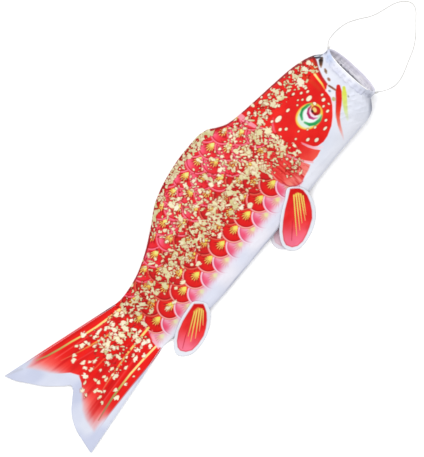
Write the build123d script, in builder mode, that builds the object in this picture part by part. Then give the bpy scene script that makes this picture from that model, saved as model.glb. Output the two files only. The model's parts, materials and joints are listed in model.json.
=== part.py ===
from build123d import *
from math import atan2, copysign, cos, degrees, pi, radians, sin, sqrt, tan
import os

os.makedirs("parts", exist_ok=True)

# A carp streamer: a sewn satin windsock in the shape of a carp. It lies on its
# left side, right side up. +X points to the mouth, +Y to the back (dorsal) edge
# and +Z up. All dimensions are in millimetres.

# ---------------------------------------------------------------- dimensions
X0, Y0 = 24.52, 3.26        # moves the drawing's origin to the middle of the base

CLOTH = 1.0                 # thickness of the solids that stand for the satin panels
FIN_CLOTH = 0.7             # thickness of the solids that stand for the fins
THREAD_R = 0.35             # radius of a row of stitches

MOUTH_X = 320.5             # where the lower rim of the mouth stands
MOUTH_LEAN = 13.0           # the mouth leans back by this many degrees
RING_HALF_WIDTH = 47.2      # half width of the mouth rim, outside
RING_HALF_HEIGHT = 35.0     # half height of the mouth rim, outside, along the lean
RING_Y = 7.8                # middle of the mouth rim
HEM_WIDTH = 11.0            # width of the sewn hem round the mouth
HEM_THICK = 3.4             # thickness of the hem with the hoop in it
HOOP_R = 1.25               # radius of the hoop's wire
HOOP_SET = 2.6              # distance of the hoop behind the rim
KNOT_R = 2.3                # radius of a bridle knot

HINGE_X = -177.0            # tail bends here
HINGE_GAP = 1.2             # each side of the bend line
TAIL_H = 2.6                # height of the two tail layers together

CORD_D = 1.5                # diameter of the bridle string

# Stations of the body: x of the seams, back edge y, belly edge y, height of the
# seams, height of the top, lean of the section, squareness of the underside
STATIONS = [
    (-175.8, 27.7, -66.2, 1.3, TAIL_H, 0, 2.0),
    (-168, 27.2, -66.9, 2.6, 6.0, 0, 2.1),
    (-153, 28.6, -68.9, 5.4, 12.4, 0, 2.3),
    (-130, 33.5, -73.5, 7.6, 18.4, 0, 2.4),
    (-98, 46.2, -78.6, 9.2, 23.2, 0, 2.5),
    (-62, 66.8, -79.4, 10.0, 26.6, 0, 2.5),
    (-28, 88.2, -77.6, 10.5, 29.0, 0, 2.5),
    (10, 100.8, -75.4, 11.0, 31.4, 0, 2.5),
    (50, 107.5, -73.2, 11.5, 33.8, 0, 2.5),
    (84, 109.0, -71.6, 12.0, 36.0, 0, 2.5),
    (101, 105.6, -70.6, 12.3, 37.2, 0, 2.5),
    (114, 97.0, -69.7, 12.6, 38.3, 0, 2.5),
    (130, 88.9, -68.4, 12.9, 39.7, 0, 2.5),
    (150, 85.5, -66.6, 13.4, 41.6, 0, 2.5),
    (180, 82.6, -63.8, 14.4, 45.0, 0, 2.4),
    (215, 79.8, -61.5, 16.0, 49.8, 1, 2.3),
    (248, 76.6, -60.0, 18.4, 55.2, 3, 2.2),
    (272, 71.8, -58.8, 21.8, 60.2, 5.5, 2.1),
    (289, 65.2, -54.0, 27.0, 64.6, 9, 2.0),
]

# Outline of the tail, from the back edge of the bend round the fork
TAIL_OUTLINE = [
    (-200, 33), (-220, 40), (-240, 44.5), (-260, 49), (-280, 54), (-310, 60.5),
    (-330, 65.5), (-350, 71), (-370, 76), (-365, 62), (-355, 45), (-340, 22),
    (-330, 11), (-320, 1), (-313, -6), (-315, -12), (-325, -20), (-340, -32),
    (-350, -45), (-357, -60), (-361, -75), (-366, -96), (-345, -92), (-320, -88),
    (-300, -84.5), (-280, -82), (-250, -78), (-215, -74), (-190, -69.5),
]

# Outline of a chest fin and of a rear fin, from the front of the root round the
# tip and back. The first and last points are the two ends of the root.
PECTORAL_OUTLINE = [
    (133, -53), (137, -64), (135, -74), (131, -84), (124, -94), (115, -102.5),
    (104, -109), (92, -113), (78, -115.5), (65, -114.5), (56, -108), (52.5, -98),
    (55.5, -88), (64, -77), (76, -67), (92, -56.5), (106, -49), (120, -41),
]
PELVIC_OUTLINE = [
    (-87, -67.5), (-88.5, -75), (-92.5, -83), (-100, -90), (-111, -97.5),
    (-125, -103.5), (-140, -106), (-155, -105.5), (-165, -100), (-170.5, -94),
    (-172, -87), (-166, -77.5), (-157, -70), (-145, -63.5), (-130, -58),
    (-115, -55), (-98, -54),
]
LEFT_PECTORAL_SWING = -11.0  # the fin under the body lies this much nearer the belly


def at(x, y):
    """A point of the drawing, moved to the part's origin."""
    return (x + X0, y + Y0)


def half_section(y_back, y_belly, z_seam, rise, n, inset, up, lean, count=12):
    """Points of one half of the tube's section, from the belly seam to the back seam."""
    mid, a, b = (y_back + y_belly) / 2 + Y0, (y_back - y_belly) / 2 - inset, rise - inset
    points = []
    for i in range(count + 1):
        c, s = -cos(pi * i / count), sin(pi * i / count)
        if i in (0, count):
            s = 0.0
        points.append((
            mid + a * copysign(abs(c) ** (2 / n), c),
            (z_seam + up * b * s ** (2 / n)) / cos(radians(lean)),
        ))
    return points


def section_plane(x_floor, lean):
    """A plane across the body that leans back: its own Y runs up the lean."""
    return Plane(
        origin=(x_floor + X0, 0, 0),
        x_dir=(0, 1, 0),
        z_dir=(cos(radians(lean)), 0, sin(radians(lean))),
    )


# The rear edge of the hem is the last station of the body
RING_Z = RING_HALF_HEIGHT * cos(radians(MOUTH_LEAN))
RING_SEAM_X = MOUTH_X - HEM_WIDTH - RING_Z * tan(radians(MOUTH_LEAN))
SECTIONS = STATIONS + [(
    RING_SEAM_X, RING_Y + RING_HALF_WIDTH, RING_Y - RING_HALF_WIDTH,
    RING_Z, 2 * RING_Z, MOUTH_LEAN, 2.0,
)]


def surface(x, y):
    """Heights of the underside and of the top of the body at a point of the drawing."""
    s = SECTIONS
    i = max(k for k in range(len(s) - 1) if s[k][0] <= x)
    f = (x - s[i][0]) / (s[i + 1][0] - s[i][0])
    yd, yb, zs, zt, lean, n = (s[i][k] + f * (s[i + 1][k] - s[i][k]) for k in range(1, 7))
    e = min(1.0, abs(y - (yd + yb) / 2) / ((yd - yb) / 2))
    return zs * (1 - (1 - e ** n) ** (1 / n)), zs + (zt - zs) * sqrt(1 - e * e)


# ---------------------------------------------------------------- body panels
with BuildPart() as right_body_panel:
    for x, yd, yb, zs, zt, lean, n in SECTIONS:
        with BuildSketch(section_plane(x + zs * tan(radians(lean)), lean)):
            with BuildLine():
                outer = Spline(*half_section(yd, yb, zs, zt - zs, 2.0, 0, 1, lean))
                inner = Spline(*half_section(yd, yb, zs, zt - zs, 2.0, CLOTH, 1, lean))
                Line(outer @ 0, inner @ 0)
                Line(outer @ 1, inner @ 1)
            make_face()
    loft()
right_body_panel.part.label = "right_body_panel"
export_step(right_body_panel.part, "parts/right_body_panel.step")

with BuildPart() as left_body_panel:
    for x, yd, yb, zs, zt, lean, n in SECTIONS:
        with BuildSketch(section_plane(x + zs * tan(radians(lean)), lean)):
            with BuildLine():
                outer = Spline(*half_section(yd, yb, zs, zs, n, 0, -1, lean))
                inner = Spline(*half_section(yd, yb, zs, zs, n, CLOTH, -1, lean))
                Line(outer @ 0, inner @ 0)
                Line(outer @ 1, inner @ 1)
            make_face()
    loft()
left_body_panel.part.label = "left_body_panel"
export_step(left_body_panel.part, "parts/left_body_panel.step")

# Rows of stitches inside the two long seams of the body
with BuildPart() as dorsal_seam_thread:
    for x, yd, yb, zs, zt, lean, n in SECTIONS[1:-1]:
        with BuildSketch(Plane.YZ.offset(x + X0)):
            with Locations((yd + Y0 - CLOTH, zs)):
                Rectangle(2 * THREAD_R, 2 * THREAD_R)
    loft(ruled=True)
dorsal_seam_thread.part.label = "dorsal_seam_thread"
export_step(dorsal_seam_thread.part, "parts/dorsal_seam_thread.step")

with BuildPart() as belly_seam_thread:
    for x, yd, yb, zs, zt, lean, n in SECTIONS[1:-1]:
        with BuildSketch(Plane.YZ.offset(x + X0)):
            with Locations((yb + Y0 + CLOTH, zs)):
                Rectangle(2 * THREAD_R, 2 * THREAD_R)
    loft(ruled=True)
belly_seam_thread.part.label = "belly_seam_thread"
export_step(belly_seam_thread.part, "parts/belly_seam_thread.step")

# ---------------------------------------------------------------- mouth
HOOP_HALF_WIDTH = RING_HALF_WIDTH - HEM_THICK / 2
HOOP_HALF_HEIGHT = RING_HALF_HEIGHT - HEM_THICK / 2
hoop_plane = section_plane(MOUTH_X - HOOP_SET, MOUTH_LEAN)
hoop_origin = hoop_plane.from_local_coords((RING_Y + Y0, RING_HALF_HEIGHT))
hoop_path_plane = Plane(origin=hoop_origin, x_dir=hoop_plane.x_dir, z_dir=hoop_plane.z_dir)

# The hoop that holds the mouth open
with BuildPart() as mouth_hoop:
    with BuildLine(hoop_path_plane):
        ring = EllipticalCenterArc((0, 0), HOOP_HALF_WIDTH, HOOP_HALF_HEIGHT, start_angle=0, arc_size=360)
    with BuildSketch(Plane(origin=ring @ 0, z_dir=ring % 0)):
        Circle(HOOP_R)
    sweep()
mouth_hoop.part.label = "mouth_hoop"
export_step(mouth_hoop.part, "parts/mouth_hoop.step")

# The hem: a folded white band sewn round the mouth, with a channel for the hoop
with BuildPart() as mouth_hem:
    with BuildSketch(section_plane(MOUTH_X, MOUTH_LEAN)):
        with Locations((RING_Y + Y0, RING_HALF_HEIGHT)):
            Ellipse(RING_HALF_WIDTH, RING_HALF_HEIGHT)
            Ellipse(RING_HALF_WIDTH - HEM_THICK, RING_HALF_HEIGHT - HEM_THICK, mode=Mode.SUBTRACT)
    extrude(amount=HEM_WIDTH, dir=(-1, 0, 0))
    with BuildLine(hoop_path_plane):
        ring = EllipticalCenterArc((0, 0), HOOP_HALF_WIDTH, HOOP_HALF_HEIGHT, start_angle=0, arc_size=360)
    with BuildSketch(Plane(origin=ring @ 0, z_dir=ring % 0)):
        Circle(HOOP_R + 0.05)
    sweep(mode=Mode.SUBTRACT)
mouth_hem.part.label = "mouth_hem"
export_step(mouth_hem.part, "parts/mouth_hem.step")

# One row of stitches that closes the hem behind the hoop
hem_plane = section_plane(MOUTH_X - HEM_WIDTH + 1.6, MOUTH_LEAN)
hem_origin = hem_plane.from_local_coords((RING_Y + Y0, RING_HALF_HEIGHT))
with BuildPart() as hem_thread:
    with BuildLine(Plane(origin=hem_origin, x_dir=hem_plane.x_dir, z_dir=hem_plane.z_dir)):
        ring = EllipticalCenterArc(
            (0, 0), RING_HALF_WIDTH - HEM_THICK, RING_HALF_HEIGHT - HEM_THICK, start_angle=0, arc_size=360
        )
    with BuildSketch(Plane(origin=ring @ 0, z_dir=ring % 0)):
        Circle(THREAD_R)
    sweep()
hem_thread.part.label = "hem_thread"
export_step(hem_thread.part, "parts/hem_thread.step")

# ---------------------------------------------------------------- tail
tail_base = [(HINGE_X - HINGE_GAP, -66.6), (HINGE_X - HINGE_GAP, 27.6)]
LAYER = 1.0

with BuildPart() as left_tail_panel:
    with BuildSketch(Plane.XY):
        with BuildLine():
            Polyline(*[at(*p) for p in tail_base + TAIL_OUTLINE], close=True)
        make_face()
    extrude(amount=LAYER)
left_tail_panel.part.label = "left_tail_panel"
export_step(left_tail_panel.part, "parts/left_tail_panel.step")

with BuildPart() as right_tail_panel:
    with BuildSketch(Plane.XY.offset(TAIL_H - LAYER)):
        with BuildLine():
            Polyline(*[at(*p) for p in tail_base + TAIL_OUTLINE], close=True)
        make_face()
    extrude(amount=LAYER)
right_tail_panel.part.label = "right_tail_panel"
export_step(right_tail_panel.part, "parts/right_tail_panel.step")

# Rows of stitches that join the two tail layers along the upper and lower edges
upper = [(HINGE_X - HINGE_GAP - 0.3, 26.2)] + [(x, y - 1.6) for x, y in TAIL_OUTLINE[:8]]
lower = [(HINGE_X - HINGE_GAP - 0.3, -65.2)] + [(x, y + 1.6) for x, y in reversed(TAIL_OUTLINE[22:])]

with BuildPart() as tail_upper_seam_thread:
    with BuildLine():
        run = Polyline(*[(*at(*p), TAIL_H / 2) for p in upper])
    with BuildSketch(Plane(origin=run @ 0, z_dir=run % 0)):
        Circle(THREAD_R)
    sweep(transition=Transition.RIGHT)
tail_upper_seam_thread.part.label = "tail_upper_seam_thread"
export_step(tail_upper_seam_thread.part, "parts/tail_upper_seam_thread.step")

with BuildPart() as tail_lower_seam_thread:
    with BuildLine():
        run = Polyline(*[(*at(*p), TAIL_H / 2) for p in lower])
    with BuildSketch(Plane(origin=run @ 0, z_dir=run % 0)):
        Circle(THREAD_R)
    sweep(transition=Transition.RIGHT)
tail_lower_seam_thread.part.label = "tail_lower_seam_thread"
export_step(tail_lower_seam_thread.part, "parts/tail_lower_seam_thread.step")

# ---------------------------------------------------------------- fins
def root_frame(outline, lift):
    """Middle of a fin's root, its direction and the direction the fin grows in."""
    (xa, ya), (xb, yb) = outline[0], outline[-1]
    length = sqrt((xa - xb) ** 2 + (ya - yb) ** 2)
    w = ((xa - xb) / length, (ya - yb) / length)
    return ((xa + xb) / 2, (ya + yb) / 2), w, length


def drape(x, y_list, reach, low):
    """Heights of a fin's underside across the body at x: on the flank, over the belly edge, down to the floor."""
    heights = []
    y_edge = [s for s in SECTIONS if s[0] <= x][-1]
    nxt = [s for s in SECTIONS if s[0] > x][0]
    f = (x - y_edge[0]) / (nxt[0] - y_edge[0])
    edge = y_edge[2] + f * (nxt[2] - y_edge[2])
    z_edge = y_edge[3] + f * (nxt[3] - y_edge[3])
    for y in y_list:
        if y > edge + 5:
            z = surface(x, y)[1] + 1.1
        else:
            z5 = surface(x, edge + 5)[1] + 1.1
            g = min(1.0, (edge + 5 - y) / (reach))
            z = low + (z5 - low) * (1 - g) ** 1.25
        heights.append(z)
    return heights


PECTORAL_Y = [-36, -44, -52, -60, -68, -76, -84, -92, -100, -108, -118]
PELVIC_Y = [-48, -55, -62, -69, -76, -83, -90, -97, -104, -110]


def strip_points(x, y_list, reach, low, lift):
    """Points along a draped fin in the plane across the body at x, raised by lift."""
    return [(y + Y0, z + lift) for y, z in zip(y_list, drape(x, y_list, reach, low))]


with BuildPart() as right_pectoral_fin:
    for x in (141, 118, 96, 72, 49):
        with BuildSketch(Plane.YZ.offset(x + X0)):
            with BuildLine():
                lo = Spline(*strip_points(x, PECTORAL_Y, 42, 1.3, 0))
                hi = Spline(*strip_points(x, PECTORAL_Y, 42, 1.3, FIN_CLOTH))
                Line(lo @ 0, hi @ 0)
                Line(lo @ 1, hi @ 1)
            make_face()
    loft(ruled=True)
    with BuildSketch(Plane.XY):
        with BuildLine():
            Polyline(*[at(*p) for p in PECTORAL_OUTLINE], close=True)
        make_face()
    extrude(amount=60, mode=Mode.INTERSECT)
right_pectoral_fin.part.label = "right_pectoral_fin"
export_step(right_pectoral_fin.part, "parts/right_pectoral_fin.step")

with BuildPart() as right_pelvic_fin:
    for x in (-83, -106, -128, -151, -174):
        with BuildSketch(Plane.YZ.offset(x + X0)):
            with BuildLine():
                lo = Spline(*strip_points(x, PELVIC_Y, 34, 1.3, 0))
                hi = Spline(*strip_points(x, PELVIC_Y, 34, 1.3, FIN_CLOTH))
                Line(lo @ 0, hi @ 0)
                Line(lo @ 1, hi @ 1)
            make_face()
    loft(ruled=True)
    with BuildSketch(Plane.XY):
        with BuildLine():
            Polyline(*[at(*p) for p in PELVIC_OUTLINE], close=True)
        make_face()
    extrude(amount=60, mode=Mode.INTERSECT)
right_pelvic_fin.part.label = "right_pelvic_fin"
export_step(right_pelvic_fin.part, "parts/right_pelvic_fin.step")


def swing(points, degrees_, about):
    c, s = cos(radians(degrees_)), sin(radians(degrees_))
    return [
        (about[0] + c * (x - about[0]) - s * (y - about[1]), about[1] + s * (x - about[0]) + c * (y - about[1]))
        for x, y in points
    ]


PECTORAL_ROOT = ((PECTORAL_OUTLINE[0][0] + PECTORAL_OUTLINE[-1][0]) / 2, (PECTORAL_OUTLINE[0][1] + PECTORAL_OUTLINE[-1][1]) / 2)
LEFT_PECTORAL_OUTLINE = (
    [PECTORAL_OUTLINE[0]]
    + swing(PECTORAL_OUTLINE[1:-1], LEFT_PECTORAL_SWING, PECTORAL_ROOT)
    + [PECTORAL_OUTLINE[-1]]
)

with BuildPart() as left_pectoral_fin:
    with BuildSketch(Plane.XY):
        with BuildLine():
            Polyline(*[at(*p) for p in LEFT_PECTORAL_OUTLINE], close=True)
        make_face()
    extrude(amount=FIN_CLOTH)
left_pectoral_fin.part.label = "left_pectoral_fin"
export_step(left_pectoral_fin.part, "parts/left_pectoral_fin.step")

with BuildPart() as left_pelvic_fin:
    with BuildSketch(Plane.XY):
        with BuildLine():
            Polyline(*[at(*p) for p in PELVIC_OUTLINE], close=True)
        make_face()
    extrude(amount=FIN_CLOTH)
left_pelvic_fin.part.label = "left_pelvic_fin"
export_step(left_pelvic_fin.part, "parts/left_pelvic_fin.step")

# Each fin is held by a short row of stitches along its root. The row stands
# through the body panel, and the fin turns about it with 0.4 mm of clearance.
STITCH_W = 0.7
SET_BACK = 1.15  # from the root edge of the fin to the middle of the stitches


def stitch_line(outline):
    (xa, ya), (xb, yb) = outline[0], outline[-1]
    length = sqrt((xa - xb) ** 2 + (ya - yb) ** 2)
    wx, wy = (xa - xb) / length, (ya - yb) / length
    ux, uy = wy, -wx
    cx = sum(p[0] for p in outline) / len(outline)
    cy = sum(p[1] for p in outline) / len(outline)
    mx, my = (xa + xb) / 2, (ya + yb) / 2
    if (cx - mx) * ux + (cy - my) * uy < 0:
        ux, uy = -ux, -uy
    return (mx - ux * SET_BACK, my - uy * SET_BACK), (wx, wy), length


HINGES = {}
for fin, outline, top in (
    ("right_pectoral", PECTORAL_OUTLINE, True),
    ("right_pelvic", PELVIC_OUTLINE, True),
    ("left_pectoral", LEFT_PECTORAL_OUTLINE, False),
    ("left_pelvic", PELVIC_OUTLINE, False),
):
    (mx, my), (wx, wy), length = stitch_line(outline)
    ends = [(mx + k * wx * length / 2, my + k * wy * length / 2) for k in (-1, 1)]
    if top:
        z = [surface(*e)[1] + 1.1 + FIN_CLOTH / 2 for e in ends]
    else:
        z = [FIN_CLOTH / 2, FIN_CLOTH / 2]
    HINGES[fin] = (ends, z)
    print("hinge", fin, [round(v, 3) for v in (*at(*ends[0]), z[0], *at(*ends[1]), z[1])],
          "body there", [tuple(round(v, 2) for v in surface(*e)) for e in ends])


def bar_plane(fin):
    """The upright plane through a fin's root, with its origin at one end on the floor."""
    (ea, eb), _ = HINGES[fin]
    length = sqrt((ea[0] - eb[0]) ** 2 + (ea[1] - eb[1]) ** 2)
    return Plane(
        origin=(*at(*ea), 0),
        x_dir=((eb[0] - ea[0]) / length, (eb[1] - ea[1]) / length, 0),
        z_dir=((eb[1] - ea[1]) / length, -(eb[0] - ea[0]) / length, 0),
    )


def bar_points(fin, bottoms, tops):
    """Corners of a flat bar along the root, as high at each end as the cloth there needs."""
    (ea, eb), _ = HINGES[fin]
    length = sqrt((ea[0] - eb[0]) ** 2 + (ea[1] - eb[1]) ** 2)
    return [(0.6, bottoms[0]), (length - 0.6, bottoms[1]), (length - 0.6, tops[1]), (0.6, tops[0])]


with BuildPart() as right_pectoral_stitch:
    h = HINGES["right_pectoral"][1]
    with BuildSketch(bar_plane("right_pectoral")):
        with BuildLine():
            Polyline(*bar_points("right_pectoral", [h[0] - 2.2, h[1] - 2.2], [h[0] + 0.3, h[1] + 0.3]), close=True)
        make_face()
    extrude(amount=STITCH_W / 2, both=True)
right_pectoral_stitch.part.label = "right_pectoral_stitch"
export_step(right_pectoral_stitch.part, "parts/right_pectoral_stitch.step")

with BuildPart() as right_pelvic_stitch:
    h = HINGES["right_pelvic"][1]
    with BuildSketch(bar_plane("right_pelvic")):
        with BuildLine():
            Polyline(*bar_points("right_pelvic", [h[0] - 2.2, h[1] - 2.2], [h[0] + 0.3, h[1] + 0.3]), close=True)
        make_face()
    extrude(amount=STITCH_W / 2, both=True)
right_pelvic_stitch.part.label = "right_pelvic_stitch"
export_step(right_pelvic_stitch.part, "parts/right_pelvic_stitch.step")

with BuildPart() as left_pectoral_stitch:
    tops = [surface(*e)[0] + 0.7 for e in HINGES["left_pectoral"][0]]
    with BuildSketch(bar_plane("left_pectoral")):
        with BuildLine():
            Polyline(*bar_points("left_pectoral", [0.05, 0.05], tops), close=True)
        make_face()
    extrude(amount=STITCH_W / 2, both=True)
left_pectoral_stitch.part.label = "left_pectoral_stitch"
export_step(left_pectoral_stitch.part, "parts/left_pectoral_stitch.step")

with BuildPart() as left_pelvic_stitch:
    tops = [surface(*e)[0] + 0.7 for e in HINGES["left_pelvic"][0]]
    with BuildSketch(bar_plane("left_pelvic")):
        with BuildLine():
            Polyline(*bar_points("left_pelvic", [0.05, 0.05], tops), close=True)
        make_face()
    extrude(amount=STITCH_W / 2, both=True)
left_pelvic_stitch.part.label = "left_pelvic_stitch"
export_step(left_pelvic_stitch.part, "parts/left_pelvic_stitch.step")

# ---------------------------------------------------------------- bridle
# A thin string tied to the hoop at the back and belly ends of the mouth. It
# drops to the floor and lies there in one loose loop.
CORD_Z = CORD_D / 2 + 0.02
CORD_ROUTE = [
    (313.4, 57.6, 32.6), (316.0, 60.0, 23.5), (319.6, 62.6, 13.0), (327.0, 65.2, 3.4),
    (341.5, 65.8, CORD_Z), (360.0, 62.2, CORD_Z), (376.5, 52.8, CORD_Z), (393.0, 40.6, CORD_Z),
    (413.0, 34.6, CORD_Z), (432.5, 29.2, CORD_Z), (447.2, 16.0, CORD_Z), (446.6, 2.2, CORD_Z),
    (432.0, -10.6, CORD_Z), (416.5, -25.4, CORD_Z), (400.0, -36.6, CORD_Z), (380.5, -43.6, CORD_Z),
    (361.0, -51.8, CORD_Z), (344.0, -54.9, CORD_Z), (330.0, -51.0, 3.2), (321.2, -46.0, 12.0),
    (316.2, -42.4, 22.5), (313.4, -40.6, 32.4),
]
route = [Vector(x + X0, y + Y0, z) for x, y, z in CORD_ROUTE]
radii = []
for i in range(1, len(route) - 1):
    a, b = route[i] - route[i - 1], route[i + 1] - route[i]
    turn = a.get_angle(b)
    radii.append(0.45 * min(a.length, b.length) / tan(radians(turn) / 2))
    print(f"cord point {i}: runs {a.length:.1f} {b.length:.1f}, turn {turn:.1f}, radius {radii[-1]:.1f}")

with BuildPart() as bridle_cord:
    with BuildLine():
        line = FilletPolyline(*route, radius=radii)
    with BuildSketch(Plane(origin=line @ 0, z_dir=line % 0)):
        Circle(CORD_D / 2)
    sweep()
bridle_cord.part.label = "bridle_cord"
export_step(bridle_cord.part, "parts/bridle_cord.step")
print(f"cord length {line.length:.1f}, volume {bridle_cord.part.volume:.1f}, "
      f"section times length {pi * CORD_D ** 2 / 4 * line.length:.1f}")

with BuildPart() as bridle_knot_dorsal:
    with BuildSketch(Plane.XZ.offset(-(RING_Y + RING_HALF_WIDTH + Y0 + 1.3))):
        with BuildLine():
            Line((312.9 + X0, RING_Z - KNOT_R), (312.9 + X0, RING_Z + KNOT_R))
            ThreePointArc((312.9 + X0, RING_Z + KNOT_R), (312.9 + X0 + KNOT_R, RING_Z), (312.9 + X0, RING_Z - KNOT_R))
        make_face()
    revolve(axis=Axis((312.9 + X0, RING_Y + RING_HALF_WIDTH + Y0 + 1.3, 0), (0, 0, 1)))
bridle_knot_dorsal.part.label = "bridle_knot_dorsal"
export_step(bridle_knot_dorsal.part, "parts/bridle_knot_dorsal.step")

with BuildPart() as bridle_knot_ventral:
    with BuildSketch(Plane.XZ.offset(-(RING_Y - RING_HALF_WIDTH + Y0 - 1.3))):
        with BuildLine():
            Line((312.9 + X0, RING_Z - KNOT_R), (312.9 + X0, RING_Z + KNOT_R))
            ThreePointArc((312.9 + X0, RING_Z + KNOT_R), (312.9 + X0 + KNOT_R, RING_Z), (312.9 + X0, RING_Z - KNOT_R))
        make_face()
    revolve(axis=Axis((312.9 + X0, RING_Y - RING_HALF_WIDTH + Y0 - 1.3, 0), (0, 0, 1)))
bridle_knot_ventral.part.label = "bridle_knot_ventral"
export_step(bridle_knot_ventral.part, "parts/bridle_knot_ventral.step")
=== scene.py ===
import json
import math

import bpy
import numpy as np
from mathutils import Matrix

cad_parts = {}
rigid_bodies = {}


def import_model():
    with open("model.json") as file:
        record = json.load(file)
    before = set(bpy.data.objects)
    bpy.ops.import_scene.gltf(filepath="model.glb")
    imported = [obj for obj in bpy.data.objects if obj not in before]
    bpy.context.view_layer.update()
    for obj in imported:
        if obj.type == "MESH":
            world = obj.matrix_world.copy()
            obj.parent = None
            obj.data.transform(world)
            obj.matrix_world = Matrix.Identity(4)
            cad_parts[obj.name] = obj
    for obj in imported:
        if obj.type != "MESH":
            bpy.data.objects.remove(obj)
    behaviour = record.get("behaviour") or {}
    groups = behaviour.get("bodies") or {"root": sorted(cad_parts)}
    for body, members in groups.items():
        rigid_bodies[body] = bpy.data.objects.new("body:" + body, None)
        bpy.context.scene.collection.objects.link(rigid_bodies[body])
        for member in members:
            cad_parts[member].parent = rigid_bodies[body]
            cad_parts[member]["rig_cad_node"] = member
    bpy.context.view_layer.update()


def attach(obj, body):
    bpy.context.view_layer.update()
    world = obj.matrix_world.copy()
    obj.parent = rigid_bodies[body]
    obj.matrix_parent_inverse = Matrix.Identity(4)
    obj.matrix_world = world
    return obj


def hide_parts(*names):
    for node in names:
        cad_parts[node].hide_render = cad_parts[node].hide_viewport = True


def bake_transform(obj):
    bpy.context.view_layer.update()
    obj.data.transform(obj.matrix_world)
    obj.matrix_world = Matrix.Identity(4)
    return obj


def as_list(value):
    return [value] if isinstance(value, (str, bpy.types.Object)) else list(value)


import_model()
rng = np.random.default_rng(70)

# ------------------------------------------------------------------ frame of the drawing
# All shapes and artwork are laid out in millimetres in one flat drawing, +X to the
# mouth and +Y to the back. X0, Y0 move it to the part's origin.
X0, Y0 = 24.52, 3.26
HINGE_X, HINGE_Z = -177.0, 1.3

SECTIONS = np.array([
    (-175.8, 27.7, -66.2, 1.3, 2.6, 0, 2.0),
    (-168, 27.2, -66.9, 2.6, 6.0, 0, 2.1),
    (-153, 28.6, -68.9, 5.4, 12.4, 0, 2.3),
    (-130, 33.5, -73.5, 7.6, 18.4, 0, 2.4),
    (-98, 46.2, -78.6, 9.2, 23.2, 0, 2.5),
    (-62, 66.8, -79.4, 10.0, 26.6, 0, 2.5),
    (-28, 88.2, -77.6, 10.5, 29.0, 0, 2.5),
    (10, 100.8, -75.4, 11.0, 31.4, 0, 2.5),
    (50, 107.5, -73.2, 11.5, 33.8, 0, 2.5),
    (84, 109.0, -71.6, 12.0, 36.0, 0, 2.5),
    (101, 105.6, -70.6, 12.3, 37.2, 0, 2.5),
    (114, 97.0, -69.7, 12.6, 38.3, 0, 2.5),
    (130, 88.9, -68.4, 12.9, 39.7, 0, 2.5),
    (150, 85.5, -66.6, 13.4, 41.6, 0, 2.5),
    (180, 82.6, -63.8, 14.4, 45.0, 0, 2.4),
    (215, 79.8, -61.5, 16.0, 49.8, 1, 2.3),
    (248, 76.6, -60.0, 18.4, 55.2, 3, 2.2),
    (272, 71.8, -58.8, 21.8, 60.2, 5.5, 2.1),
    (289, 65.2, -54.0, 27.0, 64.6, 9, 2.0),
    (301.63, 55.0, -39.4, 34.10, 68.21, 13, 2.0),
])
MOUTH_X, LEAN = 320.5, math.radians(13.0)
RING_A, RING_B, RING_Y = 47.2, 35.0, 7.8
RING_Z = RING_B * math.cos(LEAN)


def hermite(xk, yk, x):
    """Smooth curve through the stations, with no overshoot between them."""
    h = np.diff(xk)
    d = np.diff(yk) / h
    m = np.zeros(len(xk))
    same = d[1:] * d[:-1] > 0
    w1, w2 = 2 * h[1:] + h[:-1], h[1:] + 2 * h[:-1]
    with np.errstate(divide="ignore", invalid="ignore"):
        mm = (w1 + w2) / (w1 / d[:-1] + w2 / d[1:])
    m[1:-1] = np.where(same, mm, 0)
    m[0], m[-1] = d[0], d[-1]
    i = np.clip(np.searchsorted(xk, x) - 1, 0, len(h) - 1)
    t = (x - xk[i]) / h[i]
    t2, t3 = t * t, t * t * t
    return (yk[i] * (2 * t3 - 3 * t2 + 1) + h[i] * m[i] * (t3 - 2 * t2 + t)
            + yk[i + 1] * (3 * t2 - 2 * t3) + h[i] * m[i + 1] * (t3 - t2))


def station(x):
    x = np.asarray(x, float)
    xc = np.clip(x, SECTIONS[0, 0], SECTIONS[-1, 0])
    return [hermite(SECTIONS[:, 0], SECTIONS[:, k], xc) for k in range(1, 7)]


def smooth(a, b, x):
    t = np.clip((x - a) / (b - a), 0, 1)
    return t * t * (3 - 2 * t)


def hash2(ix, iy, seed):
    n = (ix.astype(np.int64) * 374761393 + iy.astype(np.int64) * 668265263 + seed * 2147483647) & 0xFFFFFFFF
    n = ((n ^ (n >> 13)) * 1274126177) & 0xFFFFFFFF
    return ((n ^ (n >> 16)) & 0xFFFFFF) / float(0xFFFFFF)


def noise(x, y, seed=0):
    """Smooth value noise from -1 to 1, one cell per unit."""
    ix, iy = np.floor(x), np.floor(y)
    fx, fy = x - ix, y - iy
    fx, fy = fx * fx * fx * (fx * (6 * fx - 15) + 10), fy * fy * fy * (fy * (6 * fy - 15) + 10)
    a, b = hash2(ix, iy, seed), hash2(ix + 1, iy, seed)
    c, d = hash2(ix, iy + 1, seed), hash2(ix + 1, iy + 1, seed)
    return 2 * (a * (1 - fx) * (1 - fy) + b * fx * (1 - fy) + c * (1 - fx) * fy + d * fx * fy) - 1


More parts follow.
